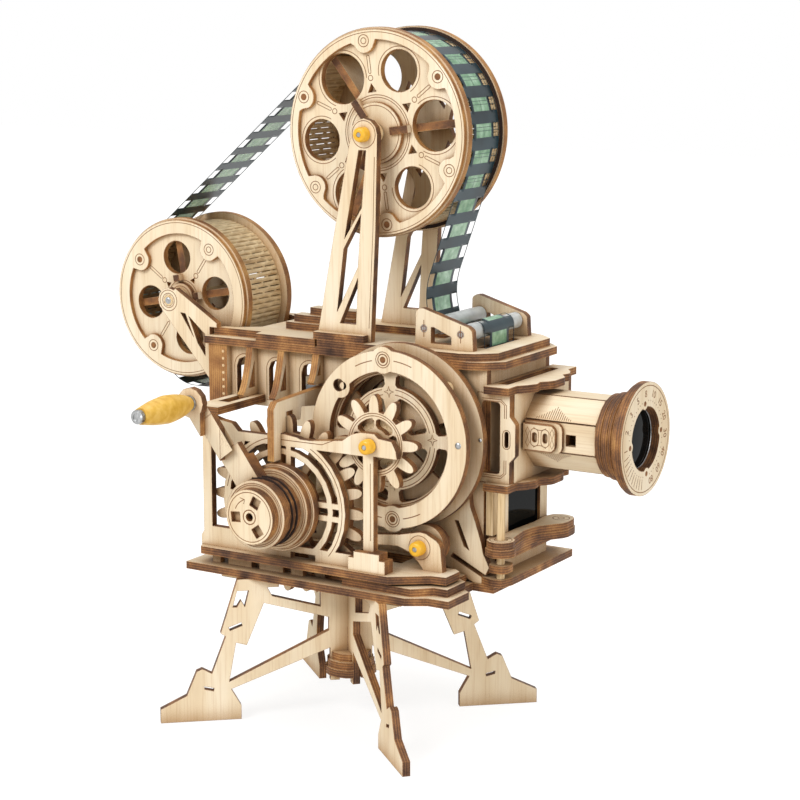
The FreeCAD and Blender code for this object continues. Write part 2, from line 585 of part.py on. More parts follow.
cap_loop += [(72.4, 2 * BODY_MID - CAP_FRONT), (WALL_RIGHT, 2 * BODY_MID - CAP_FRONT)]
cap_slot = rect(63.4, 12.0, 68.0, 2 * BODY_MID - 12.0, 0.8)
top_cap = plate(loop(cap_loop), [cap_slot], "xy", LENS_TOP)
bottom_cap = plate(loop(cap_loop), [cap_slot.copy()], "xy", LENS_BOTTOM - T)
export("lens_caps", top_cap, bottom_cap)

# eight-sided barrel with a groove at each edge, and the two-layer badge
BARREL_APOTHEM = 15.3
BARREL_X0 = FACE_X + T
BARREL_X1 = 104.0
corner_r = BARREL_APOTHEM / math.cos(math.radians(22.5))
inner_r = (BARREL_APOTHEM - T) / math.cos(math.radians(22.5))
lens_axis = (BODY_MID, LENS_Z)
octagon = [polar(lens_axis, corner_r, 45 * i + 22.5) for i in range(8)]
hollow = [polar(lens_axis, inner_r, 45 * i + 22.5) for i in range(8)]
barrel = plate(loop(octagon), [loop(hollow)], "yz", BARREL_X0, BARREL_X1 - BARREL_X0)
for i in range(8):
    outer_end = polar(lens_axis, corner_r + 1.0, 45 * i + 22.5)
    inner_end = polar(lens_axis, corner_r - 1.5, 45 * i + 22.5)
    barrel = barrel.cut(plate(bar(inner_end, outer_end, 0.5), [], "yz", BARREL_X0 + 0.5, 40.0))
barrel = barrel.cut(Part.makeBox(4.4, T + 2, 4.7, vec(90.9, BODY_MID - BARREL_APOTHEM - 1, 122.4)))
export("lens_barrel", barrel)
BADGE_T = 1.6
badge_y = BODY_MID - BARREL_APOTHEM - BADGE_T
badge_low = plate(loop([(73.0, 118.9), (90.0, 118.9, 3.0), (90.0, 131.6, 3.0), (73.0, 131.6)]), [],
                  "xz", badge_y, BADGE_T)
badge_top = plate(loop([(73.0, 119.7), (87.6, 119.7, 3.0), (87.6, 130.8, 3.0), (73.0, 130.8)]),
                  [rect(77.2, 123.2, 79.4, 127.3, 1.05), rect(82.0, 123.2, 84.2, 127.3, 1.05)],
                  "xz", badge_y - BADGE_T, BADGE_T)
export("badge_plates", badge_low, badge_top)

# lens ring turning on a sleeve in the barrel
SLEEVE_R = 12.0
RING_X0 = 104.3
RING_X1 = 119.1
export("lens_sleeve", turned([(96.0, SLEEVE_R), (113.0, SLEEVE_R)], lens_axis, "x").cut(
    turned([(95.0, 10.4), (114.0, 10.4)], lens_axis, "x")))
ring_steps = [(RING_X0, 107.5, 17.4, SLEEVE_R + FIT), (107.5, 110.7, 18.0, SLEEVE_R + FIT),
              (110.7, 114.4, 19.6, SLEEVE_R + FIT), (114.4, RING_X1, 23.2, 13.0)]
ring_body = []
for x0, x1, outer, inner in ring_steps:
    hole = ring(BODY_MID, LENS_Z, inner + FLAT_DEPTH)
    ring_body.append(plate(ring(BODY_MID, LENS_Z, outer), [hole], "yz", x0, x1 - x0))
for angle in (0, 90, 180, 270):
    ring_body.append(plate(ring(*polar(lens_axis, 14.2, angle), 2.1), [], "yz", 116.0, RING_X1 - 116.0))
export("lens_ring", union(*ring_body))
export("lens_glass", turned([(114.5, 13.0), (115.0, 13.0), (115.8, 6.0)], lens_axis, "x"))

# film gate under the lens box
SILL_Z = 73.5
SILL_TOP = SILL_Z + T
gate_opening = rect(20.5, 78.6, 48.7, 100.0)
gate_frame = plate(rect(15.0, SILL_TOP, 55.0, LENS_BOTTOM - T), [gate_opening], "yz", WALL_RIGHT)
export("gate_frame", gate_frame, plate(rect(15.0, FLOOR_TOP, 55.0, SILL_Z), [], "yz", WALL_RIGHT))
sill_plate = plate(loop([(WALL_RIGHT, 12.8), (66.2, 12.8), (68.5, 16.0), (68.5, 63.0), (WALL_RIGHT, 63.0)]),
                   [], "xy", SILL_Z)
sill_tab = plate(loop([(64.6, 1.4, 3.0), (73.2, 1.4, 3.0), (73.2, 10.6, 3.0), (64.6, 10.6, 3.0)]),
                 [bore(DOWEL, DOWEL_R)], "xy", SILL_Z - T)
export("sill_plates", sill_plate, sill_tab)
dowel_points = [polar(DOWEL, DOWEL_R, 360.0 * (i + 0.5) / AXLE_FLATS) for i in range(AXLE_FLATS)]
export("gate_dowel", plate(polygon(dowel_points), [], "xy", BASE_TOP, LENS_BOTTOM - T - BASE_TOP),
       Part.makeBox(T, T, LENS_BOTTOM - T - 84.2, vec(WALL_RIGHT, WALL_Y, 84.2)))
LEVER_Z = SILL_TOP + 0.4
lever = []
for i, inset in enumerate((0.0, 0.5)):
    body = loop([(64.9, 9.0), (72.6 - inset, 9.0), (70.2 - inset, 24.0, 8.0), (71.0 - inset, 33.0, 8.0),
                 (79.0 - inset, 45.0, 5.0), (78.5 - inset, 55.0, 6.0), (71.0, 60.5, 6.0), (64.9, 54.0, 6.0),
                 (66.0, 40.0, 6.0), (64.9, 24.0)])
    piece = union(plate(body, [], "xy", LEVER_Z + i * T),
                  plate(ring(DOWEL[0], DOWEL[1], 6.3 - inset), [], "xy", LEVER_Z + i * T))
    lever.append(piece.cut(plate(bore(DOWEL, DOWEL_R + FIT), [], "xy", LEVER_Z - 1, 20)))
export("gate_lever", *lever)

# towers carrying the upper reel
tower_loop = [(-20.8, ROOF_TOP), (5.8, ROOF_TOP), (8.2, 206.0), (9.1, UPPER[1]), (-3.9, 243.0), (-11.1, 208.4)]
tower_holes = [[(-9.4, 166.1), (-1.4, 166.1), (-0.4, 185.7)],
               [(-7.4, 197.3), (1.2, 212.4), (-0.4, 190.3), (-10.8, 170.7)],
               [(-7.0, 201.5), (1.5, 214.8), (3.7, 238.5), (0.1, 238.5)]]
towers = []
for y in (WALL_Y, REAR_Y):
    body = plate(loop(tower_loop), [loop(h) for h in tower_holes], "xz", y)
    towers.append(union(body, disc(UPPER, 6.5, y)).cut(drill(UPPER, AXLE_R, y - 1, y + T + 1)))
export("reel_towers", *towers)

# trusses carrying the small reel
truss_loop = [(-95.3, 174.6), (-73.1, 160.9), (-73.1, ROOF_TOP), (-76.9, ROOF_TOP), (-76.9, TIER_Z),
              (-71.5, TIER_Z), (-71.5, 136.0), (-77.2, 136.0), (-102.6, 164.6)]
truss_holes = [[(-92.6, 164.2), (-89.9, 163.9), (-85.4, 153.6)],
               [(-88.2, 163.0), (-79.4, 155.6), (-79.4, 146.0), (-83.4, 151.3)]]
trusses = []
for y in (WALL_Y, REAR_Y):
    body = plate(loop(truss_loop), [loop(h) for h in truss_holes], "xz", y)
    trusses.append(union(body, disc(LEFT, 5.6, y)).cut(drill(LEFT, AXLE_R, y - 1, y + T + 1)))
export("reel_trusses", *trusses)

# cheeks with the two film rollers
ROLLER_LEFT = (30.2, 166.8)
ROLLER_RIGHT = (47.5, 165.6)
ROLLER_R = 3.5
CHEEK_Y = 9.4
CHEEK_BACK = 2 * BODY_MID - CHEEK_Y - T
cheek_loop = [(26.0, ROOF_TOP), (53.4, ROOF_TOP), (52.9, 167.4, 1.5), (51.0, 168.9), (29.0, 175.4, 2.0),
              (26.4, 174.0, 1.5)]
cheek_window = [(33.6, 161.0), (43.2, 161.0), (43.2, 164.2), (35.0, 167.6), (33.6, 167.6)]
cheeks = []
for y in (CHEEK_Y, CHEEK_BACK):
    pin_holes = [bore(ROLLER_LEFT, PIN_R), bore(ROLLER_RIGHT, PIN_R)]
    cheeks.append(plate(loop(cheek_loop), [loop(cheek_window)] + pin_holes, "xz", y))
export("film_cheeks", *cheeks)
for name, centre in (("roller_left", ROLLER_LEFT), ("roller_right", ROLLER_RIGHT)):
    tube = post(centre, ROLLER_R, CHEEK_Y + T + 0.4, CHEEK_BACK - 0.4)
    export(name, tube.cut(drill(centre, PIN_R + FIT, 0, 80)))

GAP = 0.4

# reels: flange, raised rim with lobes, bent drum and three spacers between the flanges
REEL_BACK = 2 * BODY_MID - REEL_FRONT


def reel(prefix, centre, radius, rim_inner, drum_r, hub_r, holes, lobe_angles, lobe_at, spacers, tab_end):
    """One film reel; holes are (angle, distance, radius), spacers are angles, their tabs reach tab_end."""
    flanges = []
    for side in (0, 1):
        rim_y = REEL_BACK - FLANGE_RIM if side else REEL_FRONT
        flange_y = REEL_BACK - FLANGE_RIM - FLANGE_T if side else REEL_FRONT + FLANGE_RIM
        flange = disc(centre, radius, flange_y, FLANGE_T)
        rim = disc(centre, radius, rim_y, FLANGE_RIM, rim_inner)
        lobes = union(*[disc(polar(centre, lobe_at, a), 5.0, rim_y, FLANGE_RIM) for a in lobe_angles])
        lobes = lobes.common(disc(centre, radius, rim_y, FLANGE_RIM))
        hub = disc(centre, hub_r, rim_y, FLANGE_RIM)
        whole = union(flange, rim, lobes, hub)
        for wire in [bore(centre, AXLE_R + FIT)] + [ring(*polar(centre, d, a), r) for a, d, r in holes]:
            whole = whole.cut(plate(wire, [], "xz", REEL_FRONT - 5, 60))
        for angle in spacers:
            slot = bar(polar(centre, 7.6, angle), polar(centre, tab_end, angle), T)
            whole = whole.cut(plate(slot, [], "xz", REEL_FRONT - 5, 60))
        flanges.append(whole)
    export(prefix + "_flanges", *flanges)
    y0 = REEL_FRONT + FLANGE_RIM + FLANGE_T
    y1 = REEL_BACK - FLANGE_RIM - FLANGE_T
    drum_wall = 2.0
    export(prefix + "_drum", disc(centre, drum_r, y0, y1 - y0, drum_r - drum_wall))
    plates = []
    for angle in spacers:
        a = polar(centre, 7.6, angle)
        b = polar(centre, drum_r - drum_wall - 0.5, angle)
        tab = polar(centre, tab_end, angle)
        web = plate(bar(a, b, T), [], "xz", y0, y1 - y0)
        tabs = plate(bar(a, tab, T), [], "xz", REEL_FRONT - 1.0, REEL_BACK - REEL_FRONT + 2.0)
        plates.append(union(web, tabs))
    export(prefix + "_spacers", *plates)


UPPER_DRUM = 40.4
LEFT_DRUM = 32.2
upper_holes = [(8 + 120 * i, 27.6, 10.5) for i in range(3)] + [(68 + 120 * i, 27.6, 8.7) for i in range(3)]
upper_lobes = [38.5 + 60 * i for i in range(6)]
reel("upper_reel", UPPER, REEL_R, 38.2, UPPER_DRUM, 12.6, upper_holes, upper_lobes, 37.9, (8, 128, 248), 16.2)
left_angles = [10 + 90 * i for i in range(4)]
left_holes = [(angle, 18.0, 7.3) for angle in left_angles]
left_lobes = [55 + 90 * i for i in range(4)]
reel("left_reel", LEFT, SMALL_REEL_R, 28.6, LEFT_DRUM, 6.6, left_holes, left_lobes, 27.4, left_angles, 10.4)

# fixed axles with their collars, and the turned caps
COLLAR_R = 4.2
reel_collars = [(WALL_Y + T, REEL_FRONT - GAP, COLLAR_R), (REEL_BACK + GAP, REAR_Y, COLLAR_R)]
export("fixed_axles", axle(UPPER, WALL_Y - 2.4, REAR_Y + T + 2.4, *reel_collars),
       axle(LEFT, WALL_Y - 0.3, REAR_Y + T + 0.3, *reel_collars),
       rod(ROLLER_LEFT, PIN_R, CHEEK_Y, CHEEK_BACK + T), rod(ROLLER_RIGHT, PIN_R, CHEEK_Y, CHEEK_BACK + T),
       rod(IDLER, PIN_R, BRACKET_Y - 0.2, WALL_Y - T))
idler_cap = turned([(BRACKET_Y, CAP_R), (BRACKET_Y - 2.8, CAP_R), (BRACKET_Y - CAP_LENGTH, CAP_R - 0.9)], IDLER)
idler_cap = idler_cap.cut(drill(IDLER, PIN_R, BRACKET_Y - 0.2, BRACKET_Y))
export("axle_caps", cap(UPPER, WALL_Y, -1), cap(UPPER, REAR_Y + T, 1), idler_cap)

# film: a band over both reels, the two rollers and through the housing
FILM_T = 0.5
FILM_Y = BODY_MID - FILM_W / 2.0


def tangent(first, second):
    """Ends of the straight run from one guide circle to the next, each (x, z, radius, turn)."""
    x1, z1, r1, turn1 = first
    x2, z2, r2, turn2 = second
    distance = math.hypot(x2 - x1, z2 - z1)
    towards = math.atan2(z2 - z1, x2 - x1)
    normal = towards + math.acos((turn2 * r2 - turn1 * r1) / distance)
    nx = math.cos(normal)
    nz = math.sin(normal)
    return (x1 - turn1 * r1 * nx, z1 - turn1 * r1 * nz), (x2 - turn2 * r2 * nx, z2 - turn2 * r2 * nz)


half_film = FILM_T / 2.0
# guide circles in the order of travel; turn 1 goes anticlockwise seen from the front
guides = [(LEFT[0], LEFT[1], LEFT_DRUM + GAP + half_film, -1),
          (UPPER[0], UPPER[1], UPPER_DRUM + GAP + half_film, -1),
          (52.0, 178.0, 28.0, 1),
          (ROLLER_LEFT[0], ROLLER_LEFT[1], ROLLER_R + GAP + half_film, 1),
          (ROLLER_RIGHT[0], ROLLER_RIGHT[1], ROLLER_R + GAP + half_film, -1),
          (44.0, 86.0, 12.0, -1),
          (-52.0, 98.8, 31.0, 1),
          (-96.5, 146.0, 16.8, -1)]
runs = [tangent(guides[i], guides[(i + 1) % len(guides)]) for i in range(len(guides))]
pieces = []
for i, (cx, cz, radius, turn) in enumerate(guides):
    arrive = runs[i - 1][1]
    leave = runs[i][0]
    first = math.degrees(math.atan2(arrive[1] - cz, arrive[0] - cx))
    last = math.degrees(math.atan2(leave[1] - cz, leave[0] - cx))
    if turn < 0:
        first, last = last, first
    if last <= first:
        last += 360.0
    sector = arc_loop((cx, cz), radius - half_film, radius + half_film, first, last)
    pieces.append(plate(sector, [], "xz", FILM_Y, FILM_W))
    pieces.append(plate(bar(runs[i][0], runs[i][1], FILM_T), [], "xz", FILM_Y, FILM_W))
export("film", union(*pieces))
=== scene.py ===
import json
import math

import bmesh
import bpy
import numpy as np
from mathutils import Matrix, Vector
from mathutils.geometry import tessellate_polygon


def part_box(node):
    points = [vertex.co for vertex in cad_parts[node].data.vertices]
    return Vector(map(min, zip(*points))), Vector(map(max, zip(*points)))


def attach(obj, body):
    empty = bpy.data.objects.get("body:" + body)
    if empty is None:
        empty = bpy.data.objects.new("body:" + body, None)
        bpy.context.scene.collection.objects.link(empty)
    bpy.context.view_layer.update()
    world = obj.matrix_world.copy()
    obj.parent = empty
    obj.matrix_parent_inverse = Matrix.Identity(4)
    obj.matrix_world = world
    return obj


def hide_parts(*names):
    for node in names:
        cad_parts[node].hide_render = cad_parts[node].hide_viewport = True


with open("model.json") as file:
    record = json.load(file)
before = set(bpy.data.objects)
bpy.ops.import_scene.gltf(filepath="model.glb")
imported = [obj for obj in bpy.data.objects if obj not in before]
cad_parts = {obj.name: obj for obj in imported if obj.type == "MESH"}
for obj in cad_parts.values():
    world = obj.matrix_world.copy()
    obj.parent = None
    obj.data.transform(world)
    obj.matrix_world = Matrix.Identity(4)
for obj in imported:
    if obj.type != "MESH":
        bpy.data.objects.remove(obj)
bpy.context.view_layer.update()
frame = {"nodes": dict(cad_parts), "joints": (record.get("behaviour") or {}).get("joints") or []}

bl_info = {
    "name": "Wooden projector kit",
    "version": (1, 0, 0),
    "blender": (4, 5, 0),
    "location": "3D View > Sidebar > Projector",
    "description": "Dresses the packed plywood projector kit with veneer, engraving, film and fittings",
    "category": "Add Mesh",
}

MM = 0.001
PLY = 3.2                       # plywood thickness in mm
UPPER_DRUM = 40.4               # radius of the upper reel's drum in mm
LEFT_DRUM = 32.2                # radius of the small reel's drum in mm
ROLLER = 3.5                    # radius of a film roller in mm
FILM_LIFT = 0.65                # middle of the film above the drum or roller under it, in mm
SHARP = math.radians(35.0)      # faces that meet at a wider angle keep a crisp edge

# widths of the laser-engraved lines in mm
FAINT, HAIR, FINE, THIN, LINE, BROAD, BOLD = 0.22, 0.24, 0.26, 0.28, 0.3, 0.36, 0.42

JOINTS = {joint["name"]: joint for joint in frame["joints"]}


def axle(joint):
    """Centre of a joint across its axis, (x, z) in mm."""
    x, _, z = JOINTS[joint]["pos_m"]
    return np.array([x / MM, z / MM])


CRANK = axle("crank_turn")
PINION = axle("pinion_turn")
UPPER = axle("upper_reel_turn")
LEFT = axle("left_reel_turn")
IDLER = axle("idler_turn")
HANDLE = axle("handle_turn")
ROLLERS = (axle("left_roller_turn"), axle("right_roller_turn"))
LENS = np.array(JOINTS["focus_turn"]["pos_m"][1:]) / MM
DOWEL = np.array(JOINTS["gate_lever_swing"]["pos_m"][:2]) / MM


def span(node, axis):
    """Lowest and highest place of a CAD node along an axis, in mm."""
    low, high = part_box(node)
    return low[axis] / MM, high[axis] / MM


# finishes

def linear(code):
    """Linear colour of an sRGB hex value."""
    parts = [int(code[i:i + 2], 16) / 255.0 for i in (1, 3, 5)]
    return [p / 12.92 if p <= 0.04045 else ((p + 0.055) / 1.055) ** 2.4 for p in parts] + [1.0]


def add(tree, kind, inputs=None, stops=(), **settings):
    """One shader node with its settings, values and links. A node given as a value is linked from its
    first output in use, a text is a hex colour, and stops are the (place, hex) pairs of a ramp."""
    node = tree.nodes.new("ShaderNode" + kind)
    for key, value in settings.items():
        setattr(node, key, value)
    for key, value in (inputs or {}).items():
        if isinstance(value, bpy.types.Node):
            value = next(socket for socket in value.outputs if socket.enabled)
        if isinstance(value, bpy.types.NodeSocket):
            tree.links.new(value, node.inputs[key])
        else:
            node.inputs[key].default_value = linear(value) if isinstance(value, str) else value
    for _ in stops[2:]:
        node.color_ramp.elements.new(0.5)
    for element, (place, code) in zip(node.color_ramp.elements if stops else (), stops):
        element.position = place
        element.color = linear(code)
    return node


def blank(name):
    """Material with an empty node tree and its output node."""
    material = bpy.data.materials.new(name)
    material.use_nodes = True
    tree = material.node_tree
    tree.nodes.clear()
    return material, tree, add(tree, "OutputMaterial")


def mottle(tree, place, scale, stretch=(1.0, 1.0, 1.0), detail=2.0, rough=0.5):
    """Uneven tone whose patches are about 1 / scale metres, divided by stretch along each axis."""
    mapped = add(tree, "Mapping", {"Vector": place, "Scale": stretch})
    inputs = {"Vector": mapped, "Scale": scale, "Detail": detail, "Roughness": rough}
    return add(tree, "TexNoise", inputs)


def laser_ply(name, across, grain=2, flipped=False, pale=False):
    """Birch plywood cut by a laser: pale sanded veneer on the faces, and scorched brown edges that
    show the thin layers. across is the plate's normal, or with flipped the way its edges face; grain is
    the axis of the long fibres; pale edges get a painted highlight, a lighter amber as where light
    catches them."""
    material, tree, output = blank(name)
    coord = add(tree, "TexCoord")
    place = coord.outputs["Object"]
    normal = add(tree, "VectorMath", {0: coord.outputs["Normal"], 1: across}, operation="DOT_PRODUCT")
    facing = add(tree, "Math", {0: normal}, operation="ABSOLUTE")
    face = add(tree, "Math", {0: facing, 1: 0.72}, operation="LESS_THAN" if flipped else "GREATER_THAN")
    # fibres 0.9 mm apart and 26 mm long, coarser than real ones so that they show, and tone bands
    # 12 mm wide
    fibre = [1.0, 1.0, 1.0]
    fibre[grain] = 0.035
    wide = [1.0, 1.0, 1.0]
    wide[grain] = 0.15
    streak = mottle(tree, place, 1100.0, fibre, 3.0, 0.6)
    band = mottle(tree, place, 80.0, wide)
    tones = ((0.28, "#E0CAA8"), (0.50, "#EBDABD"), (0.74, "#F3E6CF"))
    veneer = add(tree, "ValToRGB", {"Fac": band}, tones)
    line = add(tree, "ValToRGB", {"Fac": streak}, ((0.34, "#D2B48A"), (0.50, "#FFFFFF")))
    veneer = add(tree, "Mix", {0: 0.26, 6: veneer, 7: line}, data_type="RGBA", blend_type="MULTIPLY")
    # the laser leaves a narrow toasted line along every cut
    rounded = add(tree, "Bevel", {"Radius": 0.42 * MM}, samples=4)
    flat = add(tree, "NewGeometry").outputs["Normal"]
    agree = add(tree, "VectorMath", {0: rounded, 1: flat}, operation="DOT_PRODUCT")
    toasted = add(tree, "Math", {0: 1.0, 1: agree}, operation="SUBTRACT", use_clamp=True)
    toasted = add(tree, "Math", {0: toasted, 1: 7.0}, operation="MULTIPLY", use_clamp=True)
    veneer = add(tree, "Mix", {0: toasted, 6: veneer, 7: "#8A5A30"}, data_type="RGBA")
    # painted shade: the faces darken in the corners between plates, from ambient occlusion
    shade = add(tree, "AmbientOcclusion", {"Distance": 11.0 * MM}, samples=6).outputs["AO"]
    painted_shade_ramp = ((0.12, "#543820"), (0.50, "#C2A480"), (0.86, "#FFFFFF"))
    painted_corner_shade = add(tree, "ValToRGB", {"Fac": shade}, painted_shade_ramp)
    veneer = add(tree, "Mix", {0: 0.85, 6: veneer, 7: painted_corner_shade}, data_type="RGBA", blend_type="MULTIPLY")
    # edge layers are a third of the sheet, with char that comes and goes every centimetre
    depth = add(tree, "VectorMath", {0: place, 1: across}, operation="DOT_PRODUCT")
    radians_per_metre = 2.0 * math.pi / (PLY / 3.0 * MM)
    wave = add(tree, "Math", {0: depth, 1: radians_per_metre}, operation="MULTIPLY")
    wave = add(tree, "Math", {0: wave}, operation="SINE")
    wave = add(tree, "Math", {0: wave, 1: 0.07}, operation="MULTIPLY")
    char = mottle(tree, place, 95.0, detail=3.0)
    speck = mottle(tree, place, 1700.0)
    tone = add(tree, "Math", {0: char, 1: 0.85}, operation="MULTIPLY")
    tone = add(tree, "Math", {0: tone, 1: wave}, operation="ADD")
    grit = add(tree, "Math", {0: speck, 1: 0.24}, operation="MULTIPLY")
    tone = add(tree, "Math", {0: tone, 1: grit}, operation="ADD")
    # the middle of the cut is the most charred, the outer plies stay amber
    rim = add(tree, "Math", {0: toasted, 1: 0.16}, operation="MULTIPLY")
    tone = add(tree, "Math", {0: tone, 1: rim}, operation="ADD")
    burnt = ("#321C10", "#60402A", "#93643A", "#C2935A")
    # painted highlight: lighter amber edge tones, as on edges that catch the light
    if pale:
        burnt = ("#6A4426", "#94653A", "#B5854E", "#D2A869")
    edge = add(tree, "ValToRGB", {"Fac": tone}, tuple(zip((0.32, 0.50, 0.66, 0.84), burnt)))
    colour = add(tree, "Mix", {0: face, 6: edge, 7: veneer}, data_type="RGBA")
    bump = add(tree, "Bump", {"Height": streak, "Strength": 0.12, "Distance": 0.05 * MM})
    shader = add(tree, "BsdfPrincipled", {"Base Color": colour, "Roughness": 0.62,
                                          "Specular IOR Level": 0.35, "Normal": bump})
    tree.links.new(shader.outputs[0], output.inputs["Surface"])
    return material


def birch_stick(name, grain=1):
    """Round birch dowel or bent veneer: pale, fibres 1.1 mm apart and 22 mm long, no scorched side."""
    material, tree, output = blank(name)
    place = add(tree, "TexCoord").outputs["Object"]
    fibre = [1.0, 1.0, 1.0]
    fibre[grain] = 0.05
    streak = mottle(tree, place, 900.0, fibre, 3.0, 0.6)
    tones = ((0.30, "#B08D62"), (0.46, "#D9BE92"), (0.70, "#E9D3AC"))
    colour = add(tree, "ValToRGB", {"Fac": streak}, tones)
    bump = add(tree, "Bump", {"Height": streak, "Strength": 0.2, "Distance": 0.06 * MM})
    shader = add(tree, "BsdfPrincipled", {"Base Color": colour, "Roughness": 0.6,
                                          "Specular IOR Level": 0.35, "Normal": bump})
    tree.links.new(shader.outputs[0], output.inputs["Surface"])
    return material


def plain(name, stops, roughness, scale, bumpy=0.0, **extra):
    """Moulded or machined finish: a tone that drifts over 1 / scale metres, and a finer bump over a
    sixth of that where bumpy is given."""
    material, tree, output = blank(name)
    place = add(tree, "TexCoord").outputs["Object"]
    tone = mottle(tree, place, scale, detail=3.0)
    inputs = {"Base Color": add(tree, "ValToRGB", {"Fac": tone}, stops), "Roughness": roughness}
    if bumpy:
        fine = mottle(tree, place, scale * 6.0)
        inputs["Normal"] = add(tree, "Bump", {"Height": fine, "Strength": bumpy, "Distance": 0.05 * MM})
    inputs.update(extra)
    shader = add(tree, "BsdfPrincipled", inputs)
    tree.links.new(shader.outputs[0], output.inputs["Surface"])
    return material


def make_finishes(kit):
    # the two pairs of feet stand at these angles to the x axis
    leg_a = math.radians(41.1)
    leg_b = math.radians(-41.9)
    return {
        "ply_x": laser_ply("birch_plywood_x", (1, 0, 0)),
        "ply_y": laser_ply("birch_plywood_y", (0, 1, 0)),
        "ply_z": laser_ply("birch_plywood_z", (0, 0, 1), grain=0),
        "ply_leg_a": laser_ply("birch_plywood_leg_a", (-math.sin(leg_a), math.cos(leg_a), 0)),
        "ply_leg_b": laser_ply("birch_plywood_leg_b", (-math.sin(leg_b), math.cos(leg_b), 0)),
        # painted highlight: these two copies have lighter edges, as where the light catches them
        "ply_pale": laser_ply("birch_plywood_painted_lit_edges", (1, 0, 0), pale=True),
        "ply_reel": laser_ply("birch_plywood_reel", (0, 1, 0), pale=True),
        "ply_spoke": laser_ply("birch_plywood_on_edge", (0, 1, 0), flipped=True),
        "ply_barrel": laser_ply("birch_plywood_barrel", (1, 0, 0), grain=0, flipped=True),
        "dowel_y": birch_stick("birch_dowel_y", 1),
        "dowel_z": birch_stick("birch_dowel_z", 2),
        # laser engraving burns the veneer to a thin brown line
        "burnt": plain("laser_engraving", ((0.3, "#6B4326"), (0.7, "#94653A")), 0.8, 400.0),
        # bent veneer of the drums
        "slats": birch_stick("slotted_birch_veneer", 1),
        # painted shade: near-black brown for pieces that stand in for deep shade in gaps and bores
        "painted_shade_dark": plain("painted_shade_black", ((0.3, "#1C100A"), (0.7, "#2E1B10")), 0.9, 400.0),
        # moulded ABS cap, satin with a soft highlight
        "yellow": plain("yellow_abs", ((0.3, kit.cap_colour_dark), (0.7, kit.cap_colour)), 0.34, 300.0,
                        0.05),
        # turned beech grip under a yellow satin varnish, a little uneven
        "varnish": plain("yellow_varnished_beech",
                         ((0.3, "#D2A036"), (0.5, "#DFB24A"), (0.7, "#E8C064")), 0.42, 350.0, 0.35),
        # zinc-plated steel, bright with a fine unevenness
        "steel": plain("zinc_plated_steel", ((0.3, "#8E8F8F"), (0.7, "#B9BABA")), 0.32, 900.0, 0.1,
                       Metallic=1.0),
        # extruded clear-white acrylic tube, a little milky
        "tube": plain("frosted_acrylic_tube", ((0.3, "#D3D8D8"), (0.7, "#EDF0EF")), 0.16, 200.0,
                      **{"Transmission Weight": 0.45, "IOR": 1.49}),
        # polyester film base, dark teal and glossy
        "film": plain("polyester_film", ((0.3, "#16242A"), (0.7, "#2C424B")), 0.3, 45.0,
                      **{"Specular IOR Level": 0.3}),
        # exposed frame of a colour film, thin green dye that lets the light behind it through
        "picture": plain("exposed_film_frame",
                         ((0.35, "#74A480"), (0.52, "#93C09D"), (0.68, "#B4DBBC")), 0.25, 220.0,
                         Alpha=0.72),
        # painted shade: lens glass made almost black, for the shaded inside of the tube seen through it
        "glass": plain("lens_glass_painted_dark", ((0.3, "#060808"), (0.7, "#0D1011")), 0.05, 40.0,
                       **{"Specular IOR Level": 0.04}),
    }


FINISH = {}
# CAD nodes by finish; the others are plates square to y, "ply_y"
# finish of the CAD nodes; every node that isn't listed gets ply_y
NODE_FINISH = {
    "ply_pale": ("corbels", "end_posts"),
    "ply_x": ("cross_walls", "gate_frame", "lens_face", "lens_ring", "lens_sleeve"),
    "ply_z": ("base_plate", "apron_plate", "deck_plate", "frame_links", "gate_lever", "housing_floor",
              "lens_caps", "lower_tier", "roof_plates", "sill_plates", "stand_collar", "upper_tier"),
    "ply_leg_a": ("leg_pair_left",),
    "ply_leg_b": ("leg_pair_right",),
    "ply_spoke": ("upper_reel_spacers", "left_reel_spacers"),
    "ply_barrel": ("lens_barrel",),
    "dowel_y": ("fixed_axles", "crank_shaft", "pinion_shaft", "upper_reel_drum", "left_reel_drum"),
    "dowel_z": ("gate_dowel",),
    "yellow": ("axle_caps", "pinion_cap"),
    "varnish": ("handle_grip",),
    "steel": ("handle_bolt",),
    "tube": ("roller_left", "roller_right"),
    "film": ("film",),
    "glass": ("lens_glass",),
}


# meshes

def put(name, vertices, faces, finish, body, smooth=False, slots=None, indices=None):
    """A mesh piece in mm that rides on a body; smooth rounds its faces off up to the sharp angle. slots
    and indices give several finishes and the one of each face."""
    mesh = bpy.data.meshes.new(name)
    places = np.asarray(vertices, float) * MM
    mesh.from_pydata(places.tolist(), [], [list(map(int, face)) for face in faces])
    for key in (slots or [finish]):
        mesh.materials.append(FINISH[key])
    if indices is not None:
        mesh.polygons.foreach_set("material_index", indices)
    if smooth:
        mesh.polygons.foreach_set("use_smooth", [True] * len(mesh.polygons))
        mesh.set_sharp_from_angle(angle=SHARP)
    mesh.validate()
    mesh.update()
    piece = bpy.data.objects.new(name, mesh)
    bpy.context.scene.collection.objects.link(piece)
    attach(piece, body)
    return piece


def grid_faces(rows, columns, wrap_rows=False, wrap_columns=False):
    """Quads of a grid of vertices numbered row by row; a wrapped side joins its last line to the
    first."""
    i = np.arange(rows if wrap_rows else rows - 1)[:, None]
    j = np.arange(columns if wrap_columns else columns - 1)[None, :]
    a = i * columns + j
    b = i * columns + (j + 1) % columns
    c = ((i + 1) % rows) * columns + (j + 1) % columns
    d = ((i + 1) % rows) * columns + j
    return np.stack(np.broadcast_arrays(a, b, c, d), -1).reshape(-1, 4)


def polar(centre, radius, degrees):
    """Points at a radius and at angles in degrees from a centre."""
    angle = np.radians(degrees)
    radius = np.asarray(radius, float)
    return np.stack([centre[0] + radius * np.cos(angle), centre[1] + radius * np.sin(angle)], -1)


